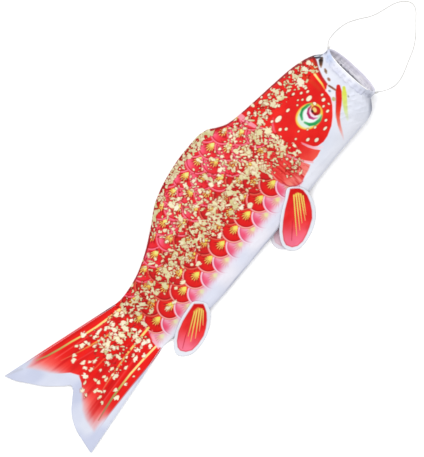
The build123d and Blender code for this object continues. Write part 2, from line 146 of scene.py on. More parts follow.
# ------------------------------------------------------------------ artwork
# The print is painted shape by shape on an array, then read at each vertex.
class Canvas:
    def __init__(self, x0, x1, y0, y1, k, base):
        self.x0, self.y0, self.k = x0, y0, k
        self.nx, self.ny = int((x1 - x0) * k) + 1, int((y1 - y0) * k) + 1
        gx, gy = np.arange(self.nx) / k + x0, np.arange(self.ny) / k + y0
        self.X, self.Y = np.meshgrid(gx, gy)
        self.C = np.zeros((self.ny, self.nx, 3)) + np.array(base) / 255.0
        self.G = np.zeros((self.ny, self.nx))

    def win(self, xa, xb, ya, yb):
        i0, i1 = max(0, int((ya - self.y0) * self.k)), min(self.ny, int((yb - self.y0) * self.k) + 2)
        j0, j1 = max(0, int((xa - self.x0) * self.k)), min(self.nx, int((xb - self.x0) * self.k) + 2)
        s = (slice(i0, max(i0, i1)), slice(j0, max(j0, j1)))
        return s, self.X[s], self.Y[s]

    def put(self, s, m, colour, foil=None):
        c = np.asarray(colour, float)
        if c.ndim == 1:
            c = c / 255.0
        m3 = m[..., None]
        self.C[s] = self.C[s] * (1 - m3) + c * m3
        if foil is not None:
            self.G[s] = self.G[s] * (1 - m) + foil * m

    def ellipse(self, cx, cy, rx, ry, ang, colour, alpha=1.0, soft=0.7, foil=None, ragged=0.0):
        r = max(rx, ry) + 2 * soft
        s, X, Y = self.win(cx - r, cx + r, cy - r, cy + r)
        a = math.radians(ang)
        u, v = (X - cx) * math.cos(a) + (Y - cy) * math.sin(a), -(X - cx) * math.sin(a) + (Y - cy) * math.cos(a)
        d = (np.sqrt((u / rx) ** 2 + (v / ry) ** 2) - 1) * min(rx, ry)
        if ragged:
            d = d + ragged * (noise(X / 2.3 + cx, Y / 2.1 + cy, 7) + 0.5 * noise(X / 1.1, Y / 1.1 + cx, 8))
        self.put(s, alpha * smooth(soft, -soft, d), colour, foil)

    def stroke(self, pts, widths, colours, alpha=1.0, soft=0.6, foil=None, rows=None):
        pts = np.array(pts, float)
        n = len(pts)
        widths = np.full(n, float(widths)) if np.isscalar(widths) else np.array(widths, float)
        cols = np.array(colours, float)
        if cols.ndim == 1:
            cols = np.repeat(cols[None], n, 0)
        alphas = np.full(n, float(alpha)) if np.isscalar(alpha) else np.array(alpha, float)
        pad = widths.max() / 2 + 2 * soft
        s, X, Y = self.win(pts[:, 0].min() - pad, pts[:, 0].max() + pad, pts[:, 1].min() - pad, pts[:, 1].max() + pad)
        if X.size == 0:
            return
        best = np.full(X.shape, 1e9)
        col = np.zeros(X.shape + (3,))
        al = np.zeros(X.shape)
        for i in range(n - 1):
            (ax, ay), (bx, by) = pts[i], pts[i + 1]
            dx, dy = bx - ax, by - ay
            t = np.clip(((X - ax) * dx + (Y - ay) * dy) / (dx * dx + dy * dy + 1e-12), 0, 1)
            d = np.hypot(X - ax - t * dx, Y - ay - t * dy) - (widths[i] * (1 - t) + widths[i + 1] * t) / 2
            near = d < best
            best = np.where(near, d, best)
            c = (cols[i] * (1 - t[..., None]) + cols[i + 1] * t[..., None]) / 255.0
            col = np.where(near[..., None], c, col)
            al = np.where(near, alphas[i] * (1 - t) + alphas[i + 1] * t, al)
        self.put(s, al * smooth(soft, -soft, best), col, foil)

    def polygon(self, pts, colour, alpha=1.0, soft=0.7, foil=None):
        pts = np.array(pts, float)
        pad = 2 * soft
        s, X, Y = self.win(pts[:, 0].min() - pad, pts[:, 0].max() + pad, pts[:, 1].min() - pad, pts[:, 1].max() + pad)
        d = sdf(pts, X, Y)
        c = colour(X, Y) if callable(colour) else colour
        self.put(s, alpha * smooth(soft, -soft, d), c, foil)

    def read(self, x, y):
        fx = np.clip((x - self.x0) * self.k, 0, self.nx - 1.001)
        fy = np.clip((y - self.y0) * self.k, 0, self.ny - 1.001)
        ix, iy = fx.astype(int), fy.astype(int)
        ax, ay = fx - ix, fy - iy
        out = []
        for A in (self.C, self.G[..., None]):
            w = [((1 - ax) * (1 - ay))[..., None], (ax * (1 - ay))[..., None], ((1 - ax) * ay)[..., None], (ax * ay)[..., None]]
            out.append(A[iy, ix] * w[0] + A[iy, ix + 1] * w[1] + A[iy + 1, ix] * w[2] + A[iy + 1, ix + 1] * w[3])
        return out[0], out[1][..., 0]


def sdf(pts, X, Y):
    """Signed distance to a closed polygon, negative inside."""
    d = np.full(X.shape, 1e9)
    inside = np.zeros(X.shape, bool)
    n = len(pts)
    for i in range(n):
        (ax, ay), (bx, by) = pts[i], pts[(i + 1) % n]
        dx, dy = bx - ax, by - ay
        t = np.clip(((X - ax) * dx + (Y - ay) * dy) / (dx * dx + dy * dy + 1e-12), 0, 1)
        d = np.minimum(d, np.hypot(X - ax - t * dx, Y - ay - t * dy))
        cross = ((ay > Y) != (by > Y)) & (X < (bx - ax) * (Y - ay) / (by - ay + 1e-12) + ax)
        inside ^= cross
    return np.where(inside, -d, d)


def mix(a, b, t):
    t = np.asarray(t)[..., None]
    return np.array(a, float) * (1 - t) + np.array(b, float) * t


WHITE, LILAC = (238, 240, 250), (222, 227, 243)
RED, DEEP, DARK = (233, 26, 22), (196, 12, 14), (142, 6, 16)
PINK, ROSE = (246, 96, 118), (250, 176, 188)
GOLD, PALE, CREAM = (216, 210, 156), (240, 235, 196), (250, 247, 224)
YELLOW = (244, 226, 92)

K = 2.2
art = Canvas(-378, 330, -126, 122, K, LILAC)


def ground(c):
    """The plain cloth, with soft cloudy variation."""
    n = noise(c.X / 42, c.Y / 30, 3) * 0.5 + noise(c.X / 17, c.Y / 13, 4) * 0.25
    t = np.clip(0.5 + 0.5 * n, 0, 1)
    c.C[:] = mix((221, 227, 243), (240, 241, 250), t) / 255.0


ground(art)

# --- scales, painted from the tail to the head so that each laps over the next
ROW_B = [(-197, -57), (-167, -55), (-137, -55), (-107, -53), (-78, -53), (-47, -51), (-18, -48), (12, -47), (41, -45), (70, -45), (98, -42), (127, -40)]
ROW_A = [(-181, -34), (-152, -33), (-123, -33), (-93, -31), (-64, -30), (-33, -28), (-5, -26), (25, -25), (53, -24), (83, -22), (112, -20), (141, -18)]
ROW_C = [(-168, -11), (-139, -10), (-108, -9), (-78, -9), (-47, -6), (-19, -6), (11, -4), (40, -3), (68, -1), (97, 1), (124, 2), (153, 3)]
ROW_D = [(-183, 11), (-154, 12), (-123, 12), (-93, 14), (-62, 14), (-35, 16), (-7, 17), (24, 19), (53, 18), (82, 20), (111, 24), (138, 25)]
ROW_E = [(-169, 31), (-139, 32), (-110, 33), (-82, 36), (-50, 36), (-21, 38), (8, 39), (37, 41), (66, 42), (95, 43), (123, 44), (152, 45)]
ROW_F = [(-95, 56), (-66, 57), (-39, 58), (-9, 59), (20, 60), (50, 62), (78, 64), (107, 64), (136, 66), (165, 68)]
ROW_G = [(-53, 78), (-25, 78), (4, 79), (33, 82), (63, 83), (91, 84), (120, 86), (149, 88)]
ROW_H = [(-10, 100), (19, 101), (48, 103), (77, 104), (106, 105), (135, 107)]
rows = [("B", p) for p in ROW_B] + [("A", p) for p in ROW_A] + [("C", p) for p in ROW_C] + [("D", p) for p in ROW_D]
rows += [("E", p) for p in ROW_E] + [("F", p) for p in ROW_F] + [("G", p) for p in ROW_G] + [("H", p) for p in ROW_H]
rows.sort(key=lambda r: r[1][0])

BODY_PRINT = [(-183, -64), (-181, -40), (-184, -10), (-182, 20), (-181, 40), (-150, 45), (-120, 55), (-60, 90), (0, 115), (60, 125), (120, 122), (148, 100),
              (152, 86), (153, 70), (160, 40), (165, 10), (160, -15), (164, -42), (140, -52), (110, -57), (60, -58), (0, -60), (-60, -63), (-120, -66)]
sa, Xa, Ya = art.win(-190, 172, -80, 122)
body_mask = smooth(1.0, -1.0, sdf(np.array(BODY_PRINT, float), Xa, Ya))
keep = art.C[sa].copy()
# a rose ground shows between the scales
art.C[sa] = mix(np.array(ROSE) / 255.0, np.array(PINK) / 255.0, smooth(-45, 20, Ya))


def scale(kind, bx, by):
    R, cx = 19.6, bx - 4.5
    s, X, Y = art.win(cx - R - 2, cx + R + 2, by - R - 2, by + R + 2)
    if X.size == 0:
        return
    d = np.hypot(X - cx, (Y - by) * 1.0)
    r = d / R
    ang = np.degrees(np.arctan2(Y - by, -(X - bx)))      # 0 points to the tail
    dist = np.hypot(X - bx, Y - by)
    m = smooth(R + 0.6, R - 0.6, d)
    jitter = noise(X / 7, Y / 5, 11) * 0.5
    if kind == "B":
        inner = mix((243, 172, 192), (240, 84, 120), smooth(6, 17, bx - X) * smooth(by - 16, by + 4, Y) + 0.15 * jitter)
        low = smooth(by + 4, by - 15, Y)
        inner = inner * (1 - low[..., None] * 0.85) + np.array((238, 230, 244)) * low[..., None] * 0.85
        rim = np.array((249, 206, 220.0))
        line = np.array((214, 80, 118.0))
    elif kind == "A":
        inner = mix((238, 40, 26), (222, 18, 22), smooth(4, 22, dist) + 0.3 * jitter)
        rim = np.array((250, 168, 160.0))
        line = np.array((170, 8, 18.0))
    elif kind in ("C", "D"):
        inner = mix((226, 42, 24), (206, 20, 26), smooth(4, 20, dist) + 0.3 * jitter)
        rim = np.array((232, 92, 74.0))
        line = np.array((140, 12, 12.0))
    else:
        up = smooth(by - 8, by + 14, Y)
        inner = mix((232, 24, 30), (250, 104, 136), np.clip((0.25 + up) * smooth(0, 17, bx - X), 0, 1))
        inner = inner + jitter[..., None] * 10
        rim = np.array((248, 120, 140.0))
        line = np.array((196, 14, 34.0))
    art.put(s, m, inner / 255.0)
    # darker line inside the pale rim, and the rim itself, on the tail side only
    art.put(s, m * smooth(0.76, 0.84, r) * smooth(0.93, 0.87, r) * 0.8, line)
    art.put(s, m * smooth(0.855, 0.895, r), rim)
    art.put(s, m * smooth(0.965, 0.985, r) * 0.5, line)
    # burst: a yellow heart with rays to the tail
    wedge = np.abs(Y - by) * 1.05 + np.maximum(X - bx, 0) * 0.9 + np.maximum(bx - X, 0) * 1.25
    near = smooth(5.0, 3.2, wedge)
    glow = 0.55 if kind == "B" else 1.0
    rays = np.zeros(X.shape)
    for a, ln in ((-60, 7.0), (-38, 10.0), (-18, 12.5), (2, 13.5), (22, 12.0), (42, 9.5), (64, 6.5)):
        off = np.abs(ang - a) * np.pi / 180 * np.maximum(dist, 2)
        rays = np.maximum(rays, smooth(1.0, 0.45, off) * smooth(ln, ln * 0.75, dist))
    dark = np.zeros(X.shape)
    for a in (-48, -27.5, -8.5, 10.5, 29.5, 50):
        off = np.abs(ang - a) * np.pi / 180 * np.maximum(dist, 2)
        dark = np.maximum(dark, smooth(1.3, 0.4, off) * smooth(15, 9, dist) * smooth(3, 5, dist))
    art.put(s, m * dark * 0.75 * glow, DARK if kind != "B" else (214, 70, 110))
    art.put(s, m * rays * glow * 0.9, mix((246, 234, 104), (250, 212, 110), smooth(7, 14, dist)) / 255.0 if kind != "B" else mix((236, 232, 130), (246, 180, 170), smooth(5, 15, dist)) / 255.0)
    art.put(s, m * near * (0.75 if kind == "B" else 1.0), (240, 233, 104) if kind in "ACD" else (236, 237, 138) if kind != "B" else (232, 236, 150))
    # the point of the scale towards the head
    tip = smooth(9.5, 8.0, np.abs(Y - by) * 1.15 + np.abs(X - bx - 1.0)) * (X > bx - 1)
    edge = np.abs(np.abs(Y - by) * 1.15 + np.abs(X - bx - 1.0) - 8.2)
    art.put(s, m * smooth(1.3, 0.3, edge) * (X > bx) * (0.55 * glow), DARK if kind != "B" else (226, 120, 140))
    edge = np.abs(np.abs(Y - by) * 1.15 + np.abs(X - bx - 1.0) - 5.6)
    art.put(s, m * smooth(1.1, 0.3, edge) * (X > bx) * (0.5 * glow), (238, 96, 40) if kind != "B" else (240, 190, 150))


for kind, (bx, by) in rows:
    scale(kind, bx, by)
art.C[sa] = keep * (1 - body_mask[..., None]) + art.C[sa] * body_mask[..., None]
# belly: the lowest scales fade into the cloth
fade = smooth(-44, -62, art.Y - 0.03 * art.X) * smooth(-200, -175, art.X) * smooth(150, 120, art.X)
n = mix((226, 229, 245), (242, 240, 250), np.clip(0.5 + noise(art.X / 35, art.Y / 20, 9), 0, 1)) / 255.0
art.C = art.C * (1 - fade[..., None]) + n * fade[..., None]

# --- back rim: deep red under the foil, over the hump
hump = np.array([(-95, 49), (-60, 68), (-30, 87), (0, 98), (30, 104.5), (60, 108.5), (90, 109), (105, 104), (120, 92), (135, 87)], float)
art.stroke(hump, [6, 12, 14, 16, 18, 20, 20, 14, 8, 3], [DEEP] * 10, alpha=0.85, soft=1.6)

# --- head
def head_colour(X, Y):
    n = noise(X / 24, Y / 16, 21) * 0.5 + noise(X / 9, Y / 7, 22) * 0.25
    t = np.clip(0.45 + 0.6 * n, 0, 1)
    return mix((222, 16, 16), (246, 42, 30), t) / 255.0


HEAD = [(154.5, 100), (154.5, 70), (156, 56), (161, 46), (166, 36), (163, 22), (163, 6), (166, -6), (176, -9), (183, -12), (185, -19), (189, -26), (196, -31),
        (206, -33), (216, -31.5), (231, -25.5), (243, -17), (254, -6), (260.5, 4), (262, 12), (266, 17.5), (270.5, 20.5), (272.5, 32), (277, 44),
        (284, 54), (290, 63), (300, 80), (280, 100), (200, 110)]
SECTOR2 = [(158, -14), (163, -25), (168, -34), (174, -41), (184, -41), (194, -38.2), (189, -31), (184.5, -22), (182, -12), (176, -6), (160, -4)]
RUFF = [(118, -28), (122, -40), (127, -47), (138, -51), (150, -47.5), (160, -45.5), (168, -42), (163, -30), (157, -16), (150, 2), (140, 20), (128, 20), (120, 0)]


def ruff_colour(X, Y):
    base = mix((244, 72, 66), (250, 132, 120), smooth(-15, -45, Y))
    streak = noise(X / 2.6, Y / 16, 31) + 0.5 * noise(X / 1.6, Y / 9, 32)
    k = np.clip(0.2 + streak * 0.7, 0, 0.9)[..., None]
    base = base * (1 - k) + np.array((206, 24, 26)) * k
    return base / 255.0


art.polygon(RUFF, ruff_colour, alpha=0.92, soft=1.0)
art.stroke([(120, -30), (124, -42), (133, -49), (143, -50.5)], [1.5, 1.8, 1.5, 1.0], [(190, 60, 80)] * 4, alpha=0.7)
art.polygon([(146, 100), (146.5, 70), (151, 56), (158, 46), (163, 36), (160, 20), (159, 0), (163, -16), (172, -20), (176, 0), (170, 30), (160, 60), (156, 100)],
            lambda X, Y: mix((246, 150, 165), (236, 60, 70), smooth(60, 20, Y)) / 255.0, soft=1.2)
art.polygon(SECTOR2, lambda X, Y: mix((248, 84, 70), (228, 26, 26), smooth(-40, -8, Y) + 0.2 * noise(X / 9, Y / 9, 5)) / 255.0)
art.polygon(HEAD, head_colour)
art.stroke([(153, 18), (152, 4), (155, -8), (160, -20), (165, -31), (173, -42)], [2, 3, 3.4, 3.6, 3.2, 2.5], [(244, 130, 140)] * 3 + [(250, 190, 198)] * 3, alpha=[0.5, 0.75, 0.85, 0.95, 1, 1], soft=0.8)
art.stroke([(183, -10), (185.5, -19), (189, -27), (194, -33.5), (200, -37)], [1.5, 3.2, 3.8, 3.6, 2.4], [(246, 120, 135), (249, 158, 172), (250, 186, 198), (250, 210, 220), (244, 226, 238)], soft=0.8)
art.stroke([(181, 45), (174, 40), (169, 33), (166.5, 25)], [2, 3.4, 3.4, 1.6], [(238, 66, 84), (242, 92, 110), (242, 92, 110), (238, 60, 76)], soft=1.0)
art.stroke([(156, 84.6), (170, 83), (200, 80.3), (230, 77.6), (260, 73.6), (272, 70.8), (280, 68), (289, 64)], [3.2, 3.2, 3.2, 3.4, 4.2, 5.4, 6.0, 5.5], [DARK] * 5 + [(120, 4, 14), (104, 4, 12), (70, 8, 16)], alpha=0.78, soft=1.1)
art.stroke([(289, 66), (284, 56), (278, 46), (273.5, 34), (271, 21)], [4.5, 4.5, 3.6, 3, 2.2], [(120, 6, 10), (140, 8, 12), (156, 10, 12), (170, 12, 14), (180, 16, 16)], alpha=0.8, soft=0.9)
# muzzle side: warm ochre and the yellow lip line
art.stroke([(279, 58), (274, 50), (271, 42)], [10, 10, 5], [(226, 120, 44)] * 3, alpha=[0.35, 0.5, 0.2], soft=2.4)
art.stroke([(256, 62), (258, 50), (259, 36), (258, 24)], [7, 7, 6, 5], [(206, 82, 24)] * 4, alpha=0.38, soft=2.2)
art.stroke([(273, 50), (269.5, 44), (268, 36), (266.5, 27), (263.5, 18.5)], [3.0, 3.6, 3.2, 2.8, 1.6], [(242, 190, 92), (248, 226, 140), (250, 226, 120), (248, 206, 96), (238, 150, 60)], soft=0.7)
# white of the muzzle against the head, grey and brown touches
art.stroke([(264.5, 15), (266, 10), (265, 3), (262, -2)], [5, 7, 6, 4], [(248, 246, 250), (236, 238, 246), (242, 240, 246), (240, 232, 240)], alpha=0.9, soft=0.9)
art.stroke([(261, -1), (252, -10.5), (243, -18.5), (234, -25)], [3.4, 3.4, 2.6, 1.4], [(246, 232, 238)] * 4, alpha=0.95, soft=0.8)
art.ellipse(266.5, 11.5, 1.5, 2.2, 20, (110, 118, 140), 0.75)
art.ellipse(262, -1, 2.6, 3.2, -30, (192, 190, 130), 0.9)
art.stroke([(271.5, 17.5), (272.5, 12), (273.5, 6), (275, 2)], [2.6, 3.0, 2.6, 1.2], [(112, 60, 34), (126, 66, 40), (150, 88, 60), (180, 130, 110)], alpha=0.85, soft=0.8)
art.stroke([(294.5, 53), (291, 51.5), (286.5, 47.5), (283.5, 44.5)], [4, 6.4, 4.6, 2.0], [(52, 26, 12), (34, 18, 10), (92, 48, 20), (150, 92, 60)], alpha=[0.8, 1, 0.95, 0.6], soft=0.9)
art.stroke([(285.5, 38.5), (284, 35.5), (282.5, 33)], [2.4, 4.0, 2.4], [(140, 96, 66), (112, 72, 44), (150, 112, 84)], alpha=0.85, soft=0.9)
art.ellipse(278.2, 24, 2.0, 3.0, -10, (140, 84, 60), 0.85, soft=0.9)
# painted shade and painted highlight: a dark patch and a dark line with a white highlight between them, for the
# crumpled cloth at the back corner of the mouth
art.polygon([(287, 65), (291, 63.4), (297, 58.6), (294, 54), (288.5, 58)], (34, 38, 50), alpha=0.9, soft=0.8)
art.stroke([(289.5, 62.5), (294, 58.6), (300, 55)], [1.4, 2.2, 1.6], (240, 242, 250), alpha=0.95, soft=0.6)
art.stroke([(296, 57.5), (300.5, 55.2), (304.5, 53.4)], [1.2, 2.0, 1.4], (60, 64, 78), alpha=0.85, soft=0.7)
art.ellipse(294, 57.5, 2.4, 2.0, -40, (120, 124, 140), 0.5, soft=1.4)
art.ellipse(279.5, -14.2, 1.3, 1.8, -30, (120, 124, 104), 0.6, soft=0.8)
# barbels
art.stroke([(280, 6.5), (275, 1), (268, -6.5), (261, -12.5), (253, -18.5), (246, -25), (240, -33), (235, -42), (229, -53)],
           [5.5, 8.4, 8.0, 7.6, 6.6, 5.2, 4.6, 3.6, 1.6],
           [(214, 26, 20), (226, 30, 22), (232, 26, 20), (236, 36, 24), (238, 60, 40), (240, 86, 66), (243, 118, 102), (246, 160, 152), (246, 206, 212)],
           alpha=[1, 1, 1, 1, 1, 0.95, 0.9, 0.75, 0.3], soft=0.8)
art.stroke([(272, 4), (262, -6), (252, -15), (244, -22)], [1.2] * 4, [(168, 14, 12)] * 4, alpha=[0.6, 0.7, 0.5, 0.1], soft=0.7)
art.stroke([(284.5, -0.5), (278, -7.5), (270, -16), (262, -25.5), (254, -37)], [4.0, 7.2, 6.8, 5.6, 3.0],
           [(214, 222, 60), (226, 232, 84), (222, 232, 112), (214, 230, 140), (216, 234, 178)], alpha=[0.95, 0.95, 0.9, 0.85, 0.35], soft=1.0)

# painted shade: a grey wedge along the belly edge of the cheek by the mouth, grey lines where the cloth folds at the
# hem, and a blue-grey shade at the back corner of the mouth
art.stroke([(309, -35), (302, -42), (294, -49), (286, -55), (276, -59.5), (266, -61)], [3, 8, 7.5, 6, 4, 2], [(118, 122, 138), (124, 128, 144), (138, 142, 158), (160, 164, 180), (190, 194, 212), (208, 212, 228)], alpha=[0.9, 0.9, 0.85, 0.7, 0.5, 0.3], soft=3.0)
art.stroke([(303, -20), (301, -30), (296, -40)], [8, 10, 8], [(196, 198, 210)] * 3, alpha=[0.2, 0.6, 0.6], soft=4)
art.stroke([(290, 48), (293, 30), (294, 10), (293, -8)], [5, 6, 6, 5], [(206, 210, 228)] * 4, alpha=[0.2, 0.5, 0.45, 0.2], soft=4)
art.stroke([(306, 52), (300, 46), (297, 38)], [5, 7, 4], [(184, 202, 238)] * 3, alpha=0.6, soft=2.5)

# painted shade: grey lines along the belly seam and the belly edge
art.stroke([(-52, -78.0), (-30, -76.8), (-6, -75.6)], [1.6, 2.4, 1.6], [(168, 170, 188)] * 3, alpha=[0.3, 0.75, 0.4], soft=1.4)
art.stroke([(8, -74.8), (36, -73.6), (66, -71.8)], [1.4, 2.2, 1.6], [(172, 174, 192)] * 3, alpha=[0.3, 0.7, 0.4], soft=1.4)
art.stroke([(-150, -67.4), (-100, -77.2), (-60, -78.2), (20, -74), (120, -67.6), (200, -61), (260, -58)], 1.6, (196, 200, 218), alpha=0.5, soft=1.6)

# --- eye
art.ellipse(219, 8.2, 22.6, 18.6, -4, (232, 120, 30), 0.55, soft=1.0)
art.ellipse(219, 8.2, 21.6, 17.6, -4, (250, 214, 84), 1.0, soft=0.8)
art.ellipse(219.6, 8.2, 18.8, 15.4, -4, (206, 236, 208), 1.0, soft=1.0)
art.ellipse(207, 8, 6.5, 11, 0, (226, 240, 232), 0.9, soft=2.0)
art.stroke([(236.5, 17.5), (229, 20.8), (220, 21.3), (212.5, 18), (208.3, 12.5)], [1.5, 3.8, 5.2, 4.8, 3.2], [(120, 176, 90), (70, 160, 84), (38, 150, 74), (34, 152, 80), (90, 180, 120)], soft=0.9)
art.stroke([(207.8, 6.5), (210.5, -0.5), (217, -5.4), (225, -7.2), (232.5, -4.8)], [3.0, 4.8, 5.6, 4.4, 1.6], [(90, 180, 120), (34, 156, 82), (36, 158, 84), (60, 164, 96), (130, 190, 120)], soft=0.9)
art.ellipse(221, 8, 10.5, 11.6, 0, (246, 248, 250), 0.95, soft=1.4)
art.ellipse(234.5, 8.0, 6.2, 10.4, 0, (240, 196, 70), 0.95, soft=1.6)
art.stroke([(232, 16.4), (226.5, 15.8), (221, 12), (218.6, 6.5), (220.6, 1.2), (225.5, -2.2)], [1.6, 3.4, 4.2, 4.2, 3.6, 1.6], [(190, 70, 120), (176, 40, 96), (168, 34, 92), (172, 40, 100), (196, 90, 140), (226, 160, 190)], soft=0.8)
art.ellipse(226.4, 7.2, 4.6, 6.8, 0, (250, 214, 232), 0.95, soft=1.4)
art.ellipse(231.6, 6.6, 6.6, 7.2, 0, (168, 16, 14), 1.0, soft=0.8)
art.ellipse(233.4, 6.0, 4.6, 5.0, 0, (214, 26, 14), 0.9, soft=1.0)
art.ellipse(231.4, 8.6, 2.9, 4.0, -20, (246, 208, 120), 1.0, soft=0.8)
art.ellipse(227.4, 9.6, 1.8, 2.2, 0, (46, 16, 14), 0.9, soft=0.7)
art.ellipse(227.0, 3.2, 1.8, 1.6, 0, (120, 10, 12), 0.8, soft=0.7)

# --- tail
TAIL_PRINT = [(-173, 42), (-200, 46), (-240, 56), (-300, 68), (-325, 64.8), (-342, 62), (-335, 50), (-322, 30), (-310, 17), (-300, 8), (-294, -4),
              (-300, -15), (-310, -25), (-320, -33), (-330, -42), (-337, -55), (-341, -70), (-342, -80), (-300, -75.6), (-250, -71.6), (-200, -69),
              (-181, -66), (-184, -60), (-183, -50), (-179, -41), (-176, -36), (-180, -20), (-181, -6), (-178, 10), (-173, 22)]


def tail_colour(X, Y):
    t = smooth(-276, -345, X + 0.00 * Y)
    a = mix((240, 20, 14), (252, 112, 104), np.clip(t * 1.6, 0, 1))
    t2 = smooth(-312, -343, X)
    b = a * (1 - t2[..., None]) + np.array((224, 190, 196)) * t2[..., None]
    fan = np.arctan2(Y + 19, -(X + 20))
    n = noise(fan * 62, X / 80, 41) * 0.9 + noise(fan * 130 + 4, X / 45, 42) * 0.45 + noise(X / 22, Y / 12, 43) * 0.3
    sh = np.clip(0.22 + 0.7 * n, 0, 0.95) * (1 - 0.6 * t)
    b = b * (1 - sh[..., None]) + np.array((208, 10, 12)) * sh[..., None]
    return b / 255.0


art.polygon(TAIL_PRINT, tail_colour, soft=1.0)
# margin of plain cloth outside the print
st, Xt, Yt = art.win(-378, -178, -126, 100)
away = sdf(np.array(TAIL_PRINT, float), Xt, Yt)
art.put(st, smooth(-17, -1, away) * smooth(-292, -330, Xt) * 0.8, (232, 206, 216))
out = smooth(-0.8, 0.8, away) * smooth(-181, -186, Xt)
out = np.maximum(out, smooth(-5.5, 0.5, away) * smooth(-300, -328, Xt))
art.put(st, out, mix((205, 211, 234), (226, 230, 244), np.clip(0.5 + noise(Xt / 26, Yt / 22, 8), 0, 1)) / 255.0)
for pts, w, c, al in (
    ([(-182, 18), (-200, 21), (-225, 26), (-245, 31.5), (-265, 38), (-285, 43.5), (-305, 50), (-321, 57)], [5, 3.8, 3.2, 3.0, 2.8, 2.8, 2.6, 1.4],
     [(250, 232, 150), (248, 226, 140), (248, 224, 130), (246, 214, 120), (226, 196, 104), (190, 170, 92), (170, 150, 84), (196, 150, 110)], 1.0),
    ([(-218, 4), (-232, 8), (-250, 13.5), (-270, 20), (-296, 30)], [2.6, 2.4, 2.2, 2.0, 1.0],
     [(246, 206, 90), (244, 190, 80), (236, 160, 70), (226, 110, 60), (232, 96, 70)], 0.95),
    ([(-172, -31.5), (-195, -33), (-220, -34.5), (-245, -38), (-270, -41.5), (-292, -46)], [3.6, 3.4, 3.0, 2.4, 2.0, 1.0],
     [(250, 228, 130), (250, 226, 130), (246, 210, 116), (238, 170, 90), (232, 124, 76), (236, 96, 80)], 1.0),
    ([(-184.5, -58.5), (-210, -58), (-240, -58.5), (-262, -60.5), (-280, -62.5), (-300, -66), (-323, -71)], [3.2, 3.2, 3.2, 3.0, 3.2, 3.0, 1.4],
     [(251, 232, 150), (252, 234, 150), (249, 228, 140), (206, 186, 96), (166, 158, 84), (156, 132, 84), (196, 120, 104)], 1.0),
    ([(-250, -15), (-262, -14.8), (-273, -14.6)], [1.6, 1.6, 1.2], [(240, 120, 70)] * 3, 0.8),
    ([(-210, 20), (-250, 27), (-300, 38.5)], [2.6, 2.4, 1.6], [(240, 66, 66), (242, 78, 80), (248, 110, 110)], 0.55),
    ([(-212, 8), (-250, 4.5), (-284, 14)], [2.2, 2.2, 1.6], [(242, 80, 84)] * 3, 0.5),
    ([(-192, -44), (-240, -50), (-300, -57)], [2.2, 2.6, 1.8], [(238, 62, 60), (240, 72, 72), (248, 110, 110)], 0.55),
    ([(-212, -26), (-240, -28), (-270, -34)], [2.6, 2.4, 1.6], [(236, 44, 58)] * 3, 0.5),
    ([(-190, 29), (-230, 40), (-290, 55)], [3, 4, 3], [(250, 52, 40)] * 3, 0.4),
):
    art.stroke(pts, w, c, alpha=al, soft=0.6)
art.stroke([(-150, 29), (-175, 28.5), (-190, 30.5), (-200, 33.5), (-220, 40.5), (-245, 47.5), (-280, 55.5), (-310, 62), (-335, 66)], [2.0, 2.4, 3.6, 3.2, 2.6, 2.6, 2.6, 2.4, 1.0],
           [DARK, DARK, (110, 4, 12), (120, 6, 14), DARK, DARK, DARK, (170, 40, 50), (210, 140, 150)], alpha=[0.7, 0.8, 0.95, 0.9, 0.8, 0.8, 0.75, 0.6, 0.2], soft=0.8)
art.stroke([(-185, -67.6), (-200, -69.4), (-250, -72), (-300, -76), (-335, -80)], [1.4, 1.4, 1.4, 1.2, 0.8], [(170, 10, 14)] * 4 + [(226, 150, 160)], alpha=[0.7, 0.6, 0.5, 0.4, 0.1], soft=0.7)
art.stroke([(-345, 64), (-358, 71), (-371, 77)], [3, 3, 3], [(190, 192, 204)] * 3, alpha=0.5, soft=1.6)
art.stroke([(-184, -63), (-181.5, -56), (-178, -46), (-171, -38)], [3.0, 4.0, 4.0, 2.0], [(250, 214, 226), (248, 190, 206), (250, 180, 190), (240, 120, 120)], alpha=0.85, soft=1.0)
# back edge line over the body
back = [(-150, 28), (-130, 32.6), (-98, 45.2), (-80, 54.2), (-62, 65.6), (-45, 77.2), (-28, 87.0), (10, 99.7), (50, 106.4), (84, 107.9), (96, 106.4), (104, 102.6), (114, 95.8), (125, 89.8), (140, 86)]
art.stroke(back, 3.0, (150, 12, 24), alpha=0.75, soft=0.8)

# --- foil: small dabs, dense along the flank, thinner above it and in the tail
def density(x, y):
    d = 0.0
    body = smooth(-188, -176, x) * smooth(172, 160, x)
    mid = 9 + 0.055 * (x - 40) * 0.4
    d = np.maximum(d, body * (0.84 + 0.14 * smooth(-70, -10, x)) * np.exp(-((y - mid) / 19.0) ** 4))
    d = np.maximum(d, body * 0.66 * np.exp(-((y - 42) / 15.0) ** 4) * smooth(-80, -30, x))
    d = np.maximum(d, body * 0.84 * np.exp(-((y - 42) / 17.0) ** 4) * smooth(60, 100, x))
    d = np.maximum(d, 0.5 * smooth(-80, -40, x) * smooth(160, 140, x) * np.exp(-((y - 68) / 14.0) ** 4))
    d = np.maximum(d, 0.4 * smooth(-172, -150, x) * smooth(-60, -100, x) * np.exp(-((y - 34) / 12.0) ** 4))
    d = np.maximum(d, 0.74 * smooth(150, 160, x) * smooth(286, 270, x) * np.exp(-((y - 63 + 0.03 * (x - 160)) / 13.0) ** 4))
    rim = np.interp(x, hump[:, 0], hump[:, 1]) - y
    d = np.maximum(d, 0.95 * smooth(-80, -50, x) * smooth(122, 108, x) * smooth(-3, 1, rim) * smooth(np.where(x > 20, 19.0, 14.0), 9, rim))
    tail = smooth(-176, -184, x) * smooth(-262, -236, x)
    d = np.maximum(d, tail * 0.86 * np.exp(-((y + 9) / 17.0) ** 4))
    d = np.maximum(d, 0.46 * smooth(-176, -184, x) * smooth(-268, -240, x) * smooth(-50, -40, y) * smooth(30, 18, y))
    d = np.maximum(d, 0.55 * smooth(120, 150, x) * smooth(172, 158, x) * smooth(-44, -24, y) * smooth(50, 30, y))
    return d


